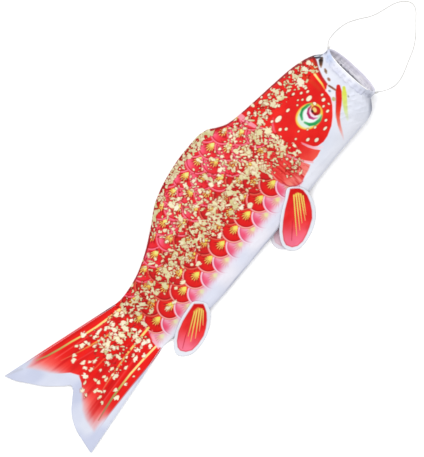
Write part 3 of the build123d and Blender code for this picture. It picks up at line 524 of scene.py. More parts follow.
def dab(x, y, a, b, ang, tone, ragless=False):
    if tone < 0.5:
        col = mix(GOLD, PALE, tone * 2)
    else:
        col = mix(PALE, CREAM, tone * 2 - 1)
    rag = 0.0 if ragless else min(1.5, 0.42 * min(a, b) + 0.25)
    art.ellipse(x, y, a + 0.8, b + 0.8, ang, (134, 20, 12), 0.55, soft=0.8, ragged=rag)
    art.ellipse(x, y, a + 0.2 * rag, b + 0.2 * rag, ang, col, 0.97, soft=0.5, foil=1.0, ragged=rag)


# a broken, connected network of foil, dark red where it is cut through
sf, Xf, Yf = art.win(-264, 290, -52, 112)
u, v = (Xf + Yf) / 1.4142, (Xf - Yf) / 1.4142
net = (noise(u / 4.9, v / 2.6, 81) + noise(u / 2.5 + 9, v / 4.6, 82)) * 0.66 + 0.36 * noise(Xf / 2.3, Yf / 2.2, 83) + 0.38 * noise(Xf / 13, Yf / 10, 77)
level = net + 1.25 * (density(Xf, Yf) - 1.0) + 0.10
level = np.where(density(Xf, Yf) < 0.12, -2, level)
dark = smooth(-0.5, -0.16, level) * 0.75
art.put(sf, dark, mix((196, 18, 12), (138, 10, 6), smooth(-0.5, 0.0, level)) / 255.0)
tone = np.clip(0.35 + 0.5 * noise(Xf / 8, Yf / 6, 84) + 0.2 * noise(Xf / 2, Yf / 2, 85), 0, 1)
art.put(sf, smooth(-0.10, 0.10, level) * 0.97, mix((211, 205, 148), (246, 242, 210), tone) / 255.0, foil=1.0)
count = 0
cand = np.column_stack([rng.uniform(-262, 286, 24000), rng.uniform(-50, 110, 24000)])
dens = density(cand[:, 0], cand[:, 1])
patch = np.clip(0.62 + 0.75 * (noise(cand[:, 0] / 15, cand[:, 1] / 11, 77)) + 0.3 * noise(cand[:, 0] / 6, cand[:, 1] / 6, 78), 0.04, 1.6)
pick = rng.uniform(0, 1, len(cand)) < dens * patch * 0.085
for (x, y), u, v, w, tt in zip(cand[pick], rng.uniform(0, 1, pick.sum()), rng.uniform(0, 1, pick.sum()), rng.uniform(0, 1, pick.sum()), rng.uniform(0, 1, pick.sum())):
    a = 1.5 + 2.6 * u * u
    b = 0.9 + 1.0 * v
    ang = (45 if w < 0.42 else -45 if w < 0.84 else 90 if w < 0.92 else 0) + (tt - 0.5) * 30
    if x < -178:
        a, b, ang = 1.6 + 2.2 * u, 1.2 + 1.1 * v, (0 if w < 0.5 else 90) + (tt - 0.5) * 50
    lightness = np.clip(0.28 + 0.5 * (tt - 0.3) + (0.35 if x < -178 else 0) + (0.2 if y > 48 and x > 150 else 0), 0, 1)
    dab(x, y, a, b, ang, lightness)
    count += 1
# larger pools where the foil is thick
for x, y, a, b, ang, t in (
    (55, 17, 7, 9, 20, 0.2), (84, 20, 6, 7, 0, 0.15), (97, 20, 7, 5, 10, 0.15), (30, 22, 5, 8, 15, 0.3), (14, 8, 5, 7, 30, 0.4), (-12, 20, 7, 5, 20, 0.15), (-3, 13, 6, 5, 0, 0.2),
    (-93, 8, 5, 9, 0, 0.1), (-108, 8, 5, 7, 20, 0.1), (-110, -7, 5, 8, -15, 0.1), (-126, -6, 5, 5, 0, 0.15), (-167, -6, 4, 8, 10, 0.3), (-172, -22, 4, 9, 5, 0.7), (-122, 9, 4, 6, 0, 0.2), (-78, 8, 4, 7, 0, 0.15),
    (120, 38, 6, 5, 20, 0.2), (152, 46, 6, 5, 15, 0.15), (162, 38, 6, 5, 0, 0.4), (162, 26, 2.4, 8, 8, 0.5), (163, 10, 7, 3, 25, 0.5), (119, 86, 4, 3, 0, 0.5),
    (61, 82, 3.6, 9, 8, 0.6), (76, 68, 3.4, 8, 15, 0.35), (78, 100, 5, 7, 0, 0.3), (55, 97, 6, 5, 10, 0.4), (30, 100, 5, 4, 20, 0.3), (70, 104, 5, 4, 0, 0.3), (-22, 86, 6, 3, 15, 0.35),
    (247, 52, 5.5, 8, -20, 0.85), (246, 42, 3, 4, 0, 0.85), (266, 61, 4, 6, 10, 0.85), (276, 62, 4, 5, -15, 0.8), (212, 70, 3.5, 8, 12, 0.4), (196, 60, 6, 3.6, 15, 0.4), (178, 59, 5, 2.6, 10, 0.6), (164, 56, 3.6, 6, 20, 0.5),
    (-196, -6, 3.6, 7, 0, 0.6), (-216, -12, 4, 8, 0, 0.5), (-207, -10, 3, 7, 10, 0.5), (-230, -4, 6, 4, 30, 0.6), (-243, -18, 5, 6, 30, 0.7), (-209, 4, 3, 5, 20, 0.8), (-192, 1, 4, 4, 0, 0.7), (-217, 3, 4, 3, 0, 0.6),
    (-187, -44, 3, 5, 0, 1.0), (-194, -42, 7, 2.6, -10, 1.0), (-190, -52, 5, 2.4, 20, 1.0), (-206, -43, 2.6, 4, 30, 1.0), (-219, -48.5, 6, 3.2, 15, 0.95), (-207, -55, 4, 3, 0, 0.9), (-257, -45, 6.5, 2.8, 3, 0.7),
    (-193, -26, 6, 3, 10, 0.7), (-184, -26, 4, 2.4, 20, 0.7), (-197, -33, 3, 6, 0, 0.6), (-234, -29, 2.6, 6, 5, 0.6), (-294, -38, 4.4, 2.0, 0, 0.6), (-290, -43, 2.0, 5, 25, 0.6), (-286, -48, 3, 2, 0, 0.7),
):
    k = 0.58 if -180 < x < 150 else 0.84
    dab(x, y, a * k, b * k, ang, t)
# single ovals
for x, y, a, b, t in (
    (185, 38.5, 6.2, 3.4, 0.9), (238, 26.2, 5.2, 3.2, 0.8), (251, 9.2, 3.2, 2.4, 0.9), (192.5, -14, 3.2, 2.0, 0.8), (201, -23.8, 3.8, 2.4, 0.9), (222, -21.4, 3.8, 1.8, 0.8),
    (243, -6.6, 2.8, 1.9, 0.8), (231.5, -14, 2.4, 1.7, 0.8), (204, 37, 3.4, 1.9, 0.7), (244, 34.5, 2.6, 1.7, 0.6), (255, 15.6, 2.2, 1.6, 0.7), (238, 15, 2.2, 2.6, 0.8), (244, 2.6, 2.2, 1.6, 0.7),
    (252, -0.6, 1.4, 2.0, 0.6), (213, -9.5, 2.4, 1.5, 0.6), (203, -3.6, 1.8, 1.2, 0.5), (192, 4.4, 2.0, 1.2, 0.4), (181, -0.4, 2.0, 1.4, 0.5), (182, 20, 2.6, 2.0, 0.6), (175.5, 26, 2.8, 2.0, 0.7), (176, 43, 2.4, 1.7, 0.7),
    (219, 32, 1.6, 1.4, 0.4), (230, 32, 2.0, 1.4, 0.4), (225, 36.5, 1.6, 1.2, 0.4), (236, 40, 2.4, 1.7, 0.7), (246, 40, 2.4, 1.6, 0.7), (227, 47.5, 2.6, 1.7, 0.8), (186, 75, 3.6, 2.4, 0.6), (162, 76.5, 2.2, 1.8, 0.8), (202, 73.6, 2.2, 1.6, 0.6),
    (248, 73, 3.2, 2.4, 0.8), (225, 73, 2.0, 4.0, 0.6), (173, -5, 1.8, 3.6, 0.7), (164, -14, 2.6, 3.6, 0.5), (170.5, -14.5, 2.4, 4.0, 0.6), (192, 79, 2.0, 1.6, 0.7), (174.5, 81, 2.6, 3.0, 0.6),
    (-259, 22.6, 4.2, 2.6, 0.7), (-277, 21, 3.0, 2.6, 0.7), (-283, 16.5, 3.6, 2.4, 0.8), (-275.5, 4, 3.6, 2.2, 0.8), (-268.5, -2.2, 2.0, 1.8, 0.8), (-279.5, -3, 2.4, 2.6, 0.9), (-263, -7.4, 3.8, 2.2, 0.8), (-275, -11.4, 4.2, 2.2, 0.6),
    (-288.5, -11.5, 3.0, 4.0, 1.0), (-246, 8.6, 3.0, 1.8, 0.7), (-245.5, 32.6, 4.0, 3.6, 0.95), (-226, 18.4, 5.0, 2.0, 0.9), (-236, 17.4, 3.6, 1.8, 0.9), (-216, 13.8, 3.8, 1.8, 0.9), (-206, 18, 2.8, 1.4, 0.6), (-190, 16, 3.6, 2.6, 0.5),
    (-265, 28, 2.6, 1.8, 0.6), (-250, 17, 2.4, 1.8, 0.6), (-267, -22.4, 2.2, 1.8, 0.6), (-282, -26.4, 2.4, 2.0, 0.4), (-282, -33, 2.6, 2.2, 0.5), (-270, -33, 2.4, 1.8, 0.6), (-255, -33, 3.6, 2.0, 0.6), (-270, -38, 3.4, 1.6, 0.5), (-259, -40, 2.8, 1.4, 0.5),
    (-296, -17.6, 2.8, 1.6, 0.5), (-307, -23, 4.0, 2.2, 0.8), (-309, -31.5, 2.6, 2.0, 0.6), (-297, -49.5, 3.0, 1.8, 0.5), (-300, -57, 2.6, 1.8, 0.5), (-239, -47.4, 3.6, 1.8, 0.7), (-256, -64.2, 2.8, 1.6, 0.7), (-280, -68, 3.4, 3.0, 0.8), (-273, -58.6, 2.8, 2.2, 0.7), (-227, -63, 2.0, 1.6, 0.6), (-240, -64.6, 1.8, 1.4, 0.5),
    (52, -10.5, 4.4, 2.6, 0.95), (64, -18, 4.6, 2.6, 0.6), (0, -15.5, 4.4, 2.6, 0.8), (-51, -20.5, 4.6, 2.6, 0.5), (-152, -18, 4.0, 2.8, 0.2), (-131, -32.5, 4.4, 2.2, 0.4), (-118, -33.5, 3.6, 2.2, 0.7), (-88, -22, 3.2, 3.0, 0.5), (-102, -21, 3.0, 1.8, 0.5), (-59, -14, 2.6, 2.0, 0.5),
    (-13, 60, 4.2, 3.6, 0.9), (20, 73, 2.6, 3.2, 0.7), (33, 68, 3.0, 2.0, 0.7), (28, 51, 3.0, 3.6, 0.5), (47, 45, 3.0, 3.4, 0.7), (57, 38, 3.4, 2.0, 0.8), (50, 60, 3.4, 4.4, 0.3), (72, 50, 3.6, 3.0, 0.7), (-50, 49, 2.4, 3.0, 0.5), (-21, 45, 3.6, 4.6, 0.3), (-60, 36, 2.6, 2.0, 0.6), (-40, 42, 2.4, 2.0, 0.6),
    (94, 72, 2.4, 2.0, 0.7), (88, 62, 2.6, 2.0, 0.6), (117, 62, 2.4, 2.2, 0.6), (118, 73, 3.0, 1.8, 0.6), (-150, 12, 3.6, 3.0, 0.2), (-2, 66, 3.0, 2.2, 0.6), (-16, 68, 3.4, 4.4, 0.5), (8, 56, 2.0, 1.6, 0.5),
):
    dab(x, y, a, b, 0, t, ragless=x > 175)


# --- fins: one canvas each, painted in the same drawing
def fin_canvas(x0, x1, y0, y1, print_pts, axis, rays, dark):
    c = Canvas(x0, x1, y0, y1, 3.0, (234, 238, 247))
    (rx, ry), (tx, ty) = axis
    L = math.hypot(tx - rx, ty - ry)

    def colour(X, Y):
        t = ((X - rx) * (tx - rx) + (Y - ry) * (ty - ry)) / L ** 2
        a = mix((214, 14, 14), (240, 40, 40), smooth(0.02, 0.4, t))
        a = a * (1 - smooth(0.45, 1.0, t)[..., None]) + np.array((250, 118, 146)) * smooth(0.45, 1.0, t)[..., None]
        n = noise(X / 11, Y / 8, 51)[..., None] * 9
        return np.clip(a + n, 0, 255) / 255.0

    c.polygon(print_pts, colour, soft=0.5)
    pts = np.array(print_pts + [print_pts[0]], float)
    c.stroke(pts, 1.4, (206, 18, 26), alpha=0.55, soft=0.7)
    for a, b, w in rays:
        mid = ((a[0] + b[0]) / 2, (a[1] + b[1]) / 2)
        off = ((b[1] - a[1]) * 0.022, -(b[0] - a[0]) * 0.022)
        shade = [(p[0] + o, p[1] + o2) for p, o, o2 in ((a, 0.5, 1.3), (mid, 0.5, 1.3), (b, 0.5, 1.3))]
        c.stroke(shade, [1.4, 1.7, 0.8], (158, 62, 10), alpha=[0.8, 0.75, 0.3], soft=0.5)
        c.stroke([a, mid, b], [2.3 * w, 1.9 * w, 1.0], [(250, 222, 104), (250, 214, 104), (252, 204, 128)], alpha=[1, 1, 0.85], soft=0.4)
    c.stroke(dark, [0.8, 1.1, 0.8], (178, 12, 30), alpha=[0.5, 0.8, 0.7], soft=0.45)
    return c


PECT_PRINT = [(122, -45), (127, -49), (131, -54), (133, -60), (131.5, -70), (127, -80), (120, -90), (112, -98), (100, -104), (90, -108), (78, -111),
              (68, -110), (61, -105.5), (57.5, -97), (60, -90), (68, -80), (80, -70), (95, -60), (108, -53)]
pect_art = fin_canvas(44, 144, -122, -34, PECT_PRINT, ((126, -50), (66, -106)),
    [((118.5, -55), (78, -99), 1.0), ((122, -56.5), (87, -97), 1.1), ((124.8, -58.5), (97, -92), 1.1), ((126.6, -61.5), (103, -93), 1.0), ((127.2, -65.5), (110, -88), 0.9)],
    [(90, -79), (80, -88), (67.5, -98.5)])
pect_art.stroke([(119, -56), (124, -57.5), (127, -62)], [3.5, 4.2, 2.5], (246, 214, 90), alpha=0.7, soft=0.8)
PELV_PRINT = [(-100, -57), (-95, -62), (-91, -67), (-92.5, -71), (-97, -79), (-105, -87), (-115, -94), (-125, -99), (-140, -101.5), (-152, -101), (-160, -96),
              (-164, -89), (-163, -83), (-157, -76), (-145, -68), (-130, -62.5), (-115, -59.5)]
pelv_art = fin_canvas(-182, -80, -112, -46, PELV_PRINT, ((-96, -62), (-160, -92)),
    [((-108, -65.5), (-141, -83), 0.9), ((-104, -66.5), (-144, -91), 1.1), ((-100, -68), (-136, -93), 1.1), ((-98, -70.5), (-124, -90), 1.0), ((-98, -73.5), (-114, -88), 0.8)],
    [(-133, -75.5), (-144, -80.5), (-160, -89.5)])
pelv_art.stroke([(-108, -65), (-101, -66), (-97.5, -71)], [3.2, 4.4, 3.0], (240, 200, 92), alpha=0.7, soft=0.9)

print("artwork done, dabs", count)


# ------------------------------------------------------------------ meshes
def row_frame(p):
    return (np.asarray(p, float) + np.array((X0, Y0, 0.0))) / 1000.0


def linear(c):
    c = np.clip(c, 0, 1)
    return np.where(c <= 0.04045, c / 12.92, ((c + 0.055) / 1.055) ** 2.4)


def build(name, V, faces, mats, face_mat=None, colour=None, foil=None, uv=None, smooth_shade=True):
    """A mesh from arrays: V in drawing mm, faces a list of (m, k) index arrays."""
    me = bpy.data.meshes.new(name)
    me.vertices.add(len(V))
    me.vertices.foreach_set("co", row_frame(V).astype(np.float32).ravel())
    idx = np.concatenate([f.ravel() for f in faces]).astype(np.int32)
    tot = np.concatenate([np.full(len(f), f.shape[1], np.int32) for f in faces])
    me.loops.add(len(idx))
    me.loops.foreach_set("vertex_index", idx)
    me.polygons.add(len(tot))
    me.polygons.foreach_set("loop_start", (np.cumsum(tot) - tot).astype(np.int32))
    if face_mat is not None:
        me.polygons.foreach_set("material_index", face_mat.astype(np.int32))
    me.polygons.foreach_set("use_smooth", np.full(len(tot), smooth_shade))
    if uv is not None:
        layer = me.uv_layers.new(name="OFBake")
        layer.data.foreach_set("uv", uv[idx].astype(np.float32).ravel())
    if colour is not None:
        a = me.attributes.new("print", "FLOAT_COLOR", "POINT")
        a.data.foreach_set("color", np.column_stack([linear(colour), np.ones(len(V))]).astype(np.float32).ravel())
    if foil is not None:
        a = me.attributes.new("foil", "FLOAT", "POINT")
        a.data.foreach_set("value", np.asarray(foil, np.float32).ravel())
    me.update()
    me.validate()
    for m in mats:
        me.materials.append(m)
    o = bpy.data.objects.new(name, me)
    bpy.context.scene.collection.objects.link(o)
    return o


def grid_faces(ny, nx):
    i, j = np.meshgrid(np.arange(ny - 1), np.arange(nx - 1), indexing="ij")
    a = (i * nx + j).ravel()
    return np.column_stack([a, a + 1, a + nx + 1, a + nx])


def normals(V, F):
    N = np.zeros_like(V)
    n = np.cross(V[F[:, 1]] - V[F[:, 0]], V[F[:, -1]] - V[F[:, 0]])
    for k in range(F.shape[1]):
        np.add.at(N, F[:, k], n)
    return N / (np.linalg.norm(N, axis=1)[:, None] + 1e-12)


def cloth(name, V, F, thick, mats, outside, inside, foil, up=True, scale_uv=None):
    """A sheet with a printed face and a reverse. V lies on the printed face."""
    N = normals(V, F)
    if (N[:, 2].mean() < 0) == up:
        F, N = F[:, ::-1], -N
    n = len(V)
    W = np.vstack([V, V - N * thick])
    E = np.concatenate([F[:, [k, (k + 1) % F.shape[1]]] for k in range(F.shape[1])])
    key = E.min(1) * n + E.max(1)
    _, first, count = np.unique(key, return_index=True, return_counts=True)
    rim = E[first[count == 1]]
    side = np.column_stack([rim[:, 1], rim[:, 0], rim[:, 0] + n, rim[:, 1] + n])
    lo, hi = V[:, :2].min(0), V[:, :2].max(0)
    q = (V[:, :2] - lo) / (hi - lo)
    uv = np.vstack([np.column_stack([0.01 + 0.98 * q[:, 0], 0.51 + 0.48 * q[:, 1]]), np.column_stack([0.01 + 0.98 * q[:, 0], 0.01 + 0.48 * q[:, 1]])])
    fm = np.concatenate([np.zeros(len(F)), np.ones(len(F)), np.zeros(len(side))])
    return build(name, W, [F, F[:, ::-1] + n, side], mats, fm, np.vstack([outside, inside]), np.concatenate([foil, np.zeros(n)]), uv)


# ------------------------------------------------------------------ materials
def material(name, base, rough, sheen=0.0, spec=0.35, attr=None, foil=False, weave=None, gain=1.0, noise_scale=None, alpha=None):
    m = bpy.data.materials.new(name)
    m.use_nodes = True
    nt = m.node_tree
    b = nt.nodes["Principled BSDF"]
    b.inputs["Base Color"].default_value = (*linear(np.array(base) / 255.0), 1)
    b.inputs["Roughness"].default_value = rough
    b.inputs["Specular IOR Level"].default_value = spec
    if sheen:
        b.inputs["Sheen Weight"].default_value = sheen
        b.inputs["Sheen Roughness"].default_value = 0.4
    col = None
    if attr:
        a = nt.nodes.new("ShaderNodeAttribute")
        a.attribute_name = attr
        col = a.outputs["Color"]
    tex = nt.nodes.new("ShaderNodeTexCoord")
    if col is not None:
        # faint cloudiness of the dye
        no = nt.nodes.new("ShaderNodeTexNoise")
        no.inputs["Scale"].default_value = 26
        no.inputs["Detail"].default_value = 4
        nt.links.new(tex.outputs["Object"], no.inputs["Vector"])
        mr = nt.nodes.new("ShaderNodeMapRange")
        mr.inputs["To Min"].default_value, mr.inputs["To Max"].default_value = 0.93 * gain, 1.05 * gain
        nt.links.new(no.outputs["Fac"], mr.inputs["Value"])
        mul = nt.nodes.new("ShaderNodeVectorMath")
        mul.operation = "SCALE"
        nt.links.new(col, mul.inputs[0])
        nt.links.new(mr.outputs["Result"], mul.inputs["Scale"])
        nt.links.new(mul.outputs["Vector"], b.inputs["Base Color"])
    if foil:
        f = nt.nodes.new("ShaderNodeAttribute")
        f.attribute_name = "foil"
        for socket, lo, hi in (("Metallic", 0.0, 0.16), ("Roughness", rough, 0.36)):
            r = nt.nodes.new("ShaderNodeMapRange")
            r.inputs["To Min"].default_value, r.inputs["To Max"].default_value = lo, hi
            nt.links.new(f.outputs["Fac"], r.inputs["Value"])
            nt.links.new(r.outputs["Result"], b.inputs[socket])
    if weave:
        # two crossed sets of threads
        scale, strength = weave
        waves = []
        for direction in ("X", "Y"):
            w = nt.nodes.new("ShaderNodeTexWave")
            w.bands_direction = direction
            w.inputs["Scale"].default_value = scale
            w.inputs["Distortion"].default_value = 0.6
            w.inputs["Detail"].default_value = 1.0
            nt.links.new(tex.outputs["Object"], w.inputs["Vector"])
            waves.append(w.outputs["Fac"])
        ad = nt.nodes.new("ShaderNodeMath")
        ad.operation = "ADD"
        nt.links.new(waves[0], ad.inputs[0])
        nt.links.new(waves[1], ad.inputs[1])
        n2 = nt.nodes.new("ShaderNodeTexNoise")
        n2.inputs["Scale"].default_value = noise_scale or 120
        n2.inputs["Detail"].default_value = 3
        nt.links.new(tex.outputs["Object"], n2.inputs["Vector"])
        ma = nt.nodes.new("ShaderNodeMath")
        ma.operation = "MULTIPLY_ADD"
        ma.inputs[1].default_value = 2.0
        nt.links.new(n2.outputs["Fac"], ma.inputs[0])
        nt.links.new(ad.outputs["Value"], ma.inputs[2])
        bp = nt.nodes.new("ShaderNodeBump")
        bp.inputs["Strength"].default_value = strength
        bp.inputs["Distance"].default_value = 0.00025
        nt.links.new(ma.outputs["Value"], bp.inputs["Height"])
        nt.links.new(bp.outputs["Normal"], b.inputs["Normal"])
    return m


GAIN = 0.72
SATIN = material("printed_satin_face", (235, 30, 20), 0.55, sheen=0.0, spec=0.10, attr="print", foil=True, weave=(260, 0.22), gain=GAIN)
REVERSE = material("printed_satin_reverse", (236, 200, 205), 0.75, sheen=0.25, spec=0.2, attr="print", weave=(260, 0.22), gain=GAIN)
FINFACE = material("fin_satin_face", (240, 60, 60), 0.55, sheen=0.0, spec=0.10, attr="print", foil=True, weave=(280, 0.2), gain=GAIN)
FINBACK = material("fin_satin_reverse", (236, 210, 220), 0.75, sheen=0.25, spec=0.2, attr="print", weave=(280, 0.2), gain=GAIN)
WHITE_SATIN = material("hem_satin", (228, 230, 242), 0.6, sheen=0.06, spec=0.18, attr="print", weave=(240, 0.25), gain=1.0)
THREAD = material("sewing_thread", (192, 193, 206), 0.7, spec=0.25, weave=(900, 0.3), noise_scale=900)
STRING = material("cotton_string", (197, 196, 194), 0.9, sheen=0.1, spec=0.15, weave=(620, 0.45), noise_scale=700)
PLASTIC = material("hoop_plastic_face", (236, 236, 232), 0.42, spec=0.45, weave=(60, 0.05), noise_scale=90)


def reverse_of(c, amount=0.62):
    """The dye seen from the back: paler, a little cooler."""
    g = c.mean(-1, keepdims=True)
    c = c * 0.8 + g * 0.2
    return c * (1 - amount) + np.array((0.93, 0.90, 0.94)) * amount


# ------------------------------------------------------------------ body and tail
def relief(x, y, g):
    """Soft dents and puckers of the upper cloth, in mm along z."""
    e = np.sqrt(np.clip(1 - g * g, 0, 1))
    body = np.clip(e * 1.6, 0, 1)
    r = 1.25 * noise(x / 58 + 3, y / 36, 61) + 0.65 * noise(x / 25, y / 17 + 5, 62)
    r = r + 0.35 * noise((x + 0.8 * y) / 13, (x - y) / 34, 63)
    r = r * body * smooth(304, 270, x) * smooth(-178, -140, x)
    # gathers run back from the mouth
    ang = np.arctan2(e, g)
    m = np.exp(-np.clip(303 - x, 0, None) / 22.0)
    r = r + 0.75 * m * noise(ang * 11.0, x / 60, 64) * np.clip(0.4 + e, 0, 1)
    # puckers along the two seams
    for side in (1, -1):
        d = np.clip(1 - side * g, 0, 2) * 84
        r = r + 0.75 * np.exp(-d / 6.5) * noise(x / 6.5, side * 3.0 + 0 * x, 65) * smooth(-178, -165, x) * smooth(0.0, 0.12, e)
    # the cloth is drawn into lengthwise folds at the tail root
    t = smooth(-95, -165, x)
    r = r + 0.55 * t * noise(y / 8.5, x / 70, 66) * np.clip(e * 2, 0, 1)
    # the cheek is crumpled where it was folded
    a, b = (x + 1.7 * y) / 15, (1.3 * x - y) / 21
    crush = 1.0 - 2.0 * np.abs(noise(a, b, 73)) + 0.6 * (0.5 - np.abs(noise(a * 2.1, b * 1.9, 74)))
    r = r + 0.95 * crush * smooth(236, 262, x) * smooth(306, 296, x) * smooth(22, -6, y) * np.clip(e * 2, 0, 1)
    # and the pale belly is lightly creased along its length
    crush = 0.6 - np.abs(noise(x / 19 + y / 40, y / 8, 75))
    r = r + 0.6 * crush * smooth(250, 220, x) * smooth(-130, -90, x) * smooth(-38, -50, y) * np.clip(e * 2.2, 0, 1)
    # creases from the root of the breast fin
    for a0, w in ((35, 2.6), (62, 3.0), (-8, 2.6)):
        a = math.radians(a0)
        u, v = (x - 126) * math.cos(a) + (y + 46) * math.sin(a), -(x - 126) * math.sin(a) + (y + 46) * math.cos(a)
        r = r + 0.55 * np.exp(-(v / w) ** 2) * smooth(4, 16, u) * smooth(52, 22, u) * body
    return r


def top_z(x, y):
    """Height of the upper cloth over a point behind the leaning part."""
    yb, yv, zs, zt, lean, n = station(x)
    mid, a = (yb + yv) / 2, (yb - yv) / 2
    g = np.clip((y - mid) / a, -1, 1)
    return zs + (zt - zs) * np.sqrt(1 - g * g) + relief(x, y, g)


EDGE_Y = np.array([-96, -75, -60, -45, -32, -20, -12, -6, 1, 11, 22, 45, 62, 76], float)
EDGE_X = np.array([-366, -361, -357, -350, -340, -325, -315, -313, -320, -330, -340, -355, -365, -370], float)


def tail_point(f, t):
    """f runs across the tail from the belly edge, t along it from the hinge."""
    yh = -66.4 + f * 94.1
    yt = -96 + f * 172.0
    xt = hermite(EDGE_Y, EDGE_X, np.clip(yt, -96, 76))
    return -177 + t * (xt + 177), yh + t * (yt - yh)


def tail_fold(f, t):
    r = noise(f * 7.5 + 2, t * 1.3, 71) * 0.9 + noise(f * 17, t * 2.0 + 4, 72) * 0.35
    return r * smooth(0.0, 0.35, t)


def tail_z(f, t, side):
    fold = tail_fold(f, t)
    if side > 0:
        return 2.35 + 0.5 * smooth(0, 0.4, t) + 1.35 * (fold + 0.35)
    return np.clip(0.55 + 0.9 * (fold + 0.35), 0.25, None)


ROWS, COLS, TROWS = ((600, 220, 200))
xs = np.linspace(301.9, -175.8, ROWS)
phi = np.linspace(math.pi, 0, COLS)
XS, PHI = np.meshgrid(xs, phi, indexing="ij")
yb, yv, zs, zt, lean, nn = station(XS)
mid, half, tl = (yb + yv) / 2, (yb - yv) / 2, np.tan(np.radians(lean))
G = np.cos(PHI)
PY = mid + half * G
PZ = zs + (zt - zs) * np.sin(PHI)
PX = XS + (zs - PZ) * tl
lift = relief(XS, PY, G)
PZ = np.maximum(PZ + lift * np.clip(np.sin(PHI) * 3, 0.12, 1), zs - 0.4)
body_top = np.stack([PX, PY, PZ], -1)
frac = (PY[-1] + 66.2) / 93.9
tt = (np.arange(1, TROWS + 1) / TROWS) ** 1.0
F2, T2 = np.meshgrid(np.clip(frac, 0, 1), tt, indexing="xy")
TX, TY = tail_point(F2, T2)
TZ = tail_z(F2, T2, 1)
join = smooth(0.0, 0.10, T2)
TZ = TZ * join + body_top[-1, :, 2][None] * (1 - join) * 1.0 + 0.0
top = np.concatenate([body_top, np.stack([TX, TY, TZ], -1)])


def print_at(P):
    c, f = art.read(P[..., 0].ravel(), P[..., 1].ravel())
    return c, f


# the artwork sits on the cloth as it was cut, so it is read without the relief
flat_top = np.concatenate([np.stack([PX, PY], -1), np.stack([TX, TY], -1)])
c, f = print_at(flat_top)
ny, nx = top.shape[:2]
right_cloth = cloth("right_cloth", top.reshape(-1, 3), grid_faces(ny, nx), 0.35, [SATIN, REVERSE], c, reverse_of(c), f, up=True)

LR, LC, LT = ((420, 160, 130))
xs2 = np.linspace(301.9, -175.8, LR)
XS, PHI = np.meshgrid(xs2, np.linspace(math.pi, 0, LC), indexing="ij")
yb, yv, zs, zt, lean, nn = station(XS)
mid, half, tl = (yb + yv) / 2, (yb - yv) / 2, np.tan(np.radians(lean))
cg, sg = np.cos(PHI), np.sin(PHI)
G = np.sign(cg) * np.abs(cg) ** (2 / nn)
PY = mid + half * G
PZ = zs * (1 - np.abs(sg) ** (2 / nn))
under = 0.55 * noise(XS / 40, PY / 28, 67) + 0.35 * noise(XS / 15, PY / 12, 68)
PZ = np.clip(PZ + np.abs(under) * smooth(0.0, 0.5, sg), 0.12, None)
# at the seam it meets the upper cloth
PX = XS + (zs - PZ) * tl
body_low = np.stack([PX, PY, PZ], -1)
frac = np.clip((PY[-1] + 66.2) / 93.9, 0, 1)
F2, T2 = np.meshgrid(frac, np.arange(1, LT + 1) / LT, indexing="xy")
TX, TY = tail_point(F2, T2)
TZ = tail_z(F2, T2, -1)
join = smooth(0.0, 0.10, T2)
TZ = TZ * join + np.clip(body_low[-1, :, 2], 0.12, 0.9)[None] * (1 - join)
low = np.concatenate([body_low, np.stack([TX, TY, TZ], -1)])
c, f = print_at(low[..., :2])
lining = reverse_of(c)
# painted shade: the inside of the lower cloth is painted grey just behind the mouth, where the upper cloth shades it
mouth_inside_painted_shade = (smooth(290, 303, low[..., 0]) * 0.95).reshape(-1, 1)
lining = lining * (1 - mouth_inside_painted_shade) + np.array((0.60, 0.60, 0.65)) * mouth_inside_painted_shade
ny, nx = low.shape[:2]
left_cloth = cloth("left_cloth", low.reshape(-1, 3), grid_faces(ny, nx), 0.12, [SATIN, REVERSE], c, lining, f, up=False)

# ------------------------------------------------------------------ hem at the mouth
NT = 560
t = np.linspace(0, 2 * math.pi, NT, endpoint=False)
profile = np.array([(0.35, -1.7), (0.55, -0.85), (1.2, -0.2), (2.3, 0.15), (3.6, 0.2), (5.0, 0.05), (6.3, -0.15), (7.3, -0.4), (8.2, -0.2), (9.3, 0.2), (10.4, 0.5), (11.6, 0.65),
                    (12.5, 0.55), (12.8, 0.2), (12.4, -0.3), (11.2, -0.75), (9.6, -1.05), (8.2, -1.35), (7.3, -1.55), (6.2, -2.1), (5.0, -2.8), (3.6, -3.35), (2.3, -3.5), (1.2, -3.2), (0.55, -2.55)])
U, T = np.meshgrid(profile[:, 0], t)
Nn, _ = np.meshgrid(profile[:, 1], t)
k = t / (2 * math.pi)
gather = noise(k * 46, 0 * k, 91) * 0.7 + 0.55 * np.sin(2 * math.pi * 31 * k + 2.2 * np.sin(2 * math.pi * 5 * k))
gather[-6:] = gather[-6:] * np.linspace(1, 0, 6) + gather[0] * np.linspace(0, 1, 6)
soft_u = smooth(3.5, 11.5, U)
mid_u = smooth(1.0, 5.0, U) * smooth(11, 6.5, U)
Nn = Nn + gather[:, None] * (0.95 * soft_u + 0.62 * mid_u)
pinch = np.exp(-((U - 7.3) / 0.8) ** 2)
U = U + (0.35 * np.roll(gather, 3)[:, None]) * soft_u
cy, cz = RING_A * np.cos(T), RING_Z * np.sin(T)
ny_, nz_ = np.cos(T) / RING_A, np.sin(T) / RING_Z
ln = np.hypot(ny_, nz_)
HY = RING_Y + cy + Nn * ny_ / ln
HZ = RING_Z + cz + Nn * nz_ / ln
HX = MOUTH_X - HZ * math.tan(LEAN) - U
HX = HX + smooth(9.0, 1.0, U) * (1.2 * smooth(RING_Z - 4, RING_Z - 26, HZ) - 1.1 * smooth(RING_Z + 4, RING_Z + 26, HZ))
hem_P = np.stack([HX, HY, np.clip(HZ, 0.05, None)], -1)
np_, nu = hem_P.shape[:2]
i, j = np.meshgrid(np.arange(np_), np.arange(nu), indexing="ij")
i2, j2 = (i + 1) % np_, (j + 1) % nu
hem_F = np.column_stack([(i * nu + j).ravel(), (i * nu + j2).ravel(), (i2 * nu + j2).ravel(), (i2 * nu + j).ravel()])
hv = hem_P.reshape(-1, 3)
upper = hv[:, 2] > RING_Z
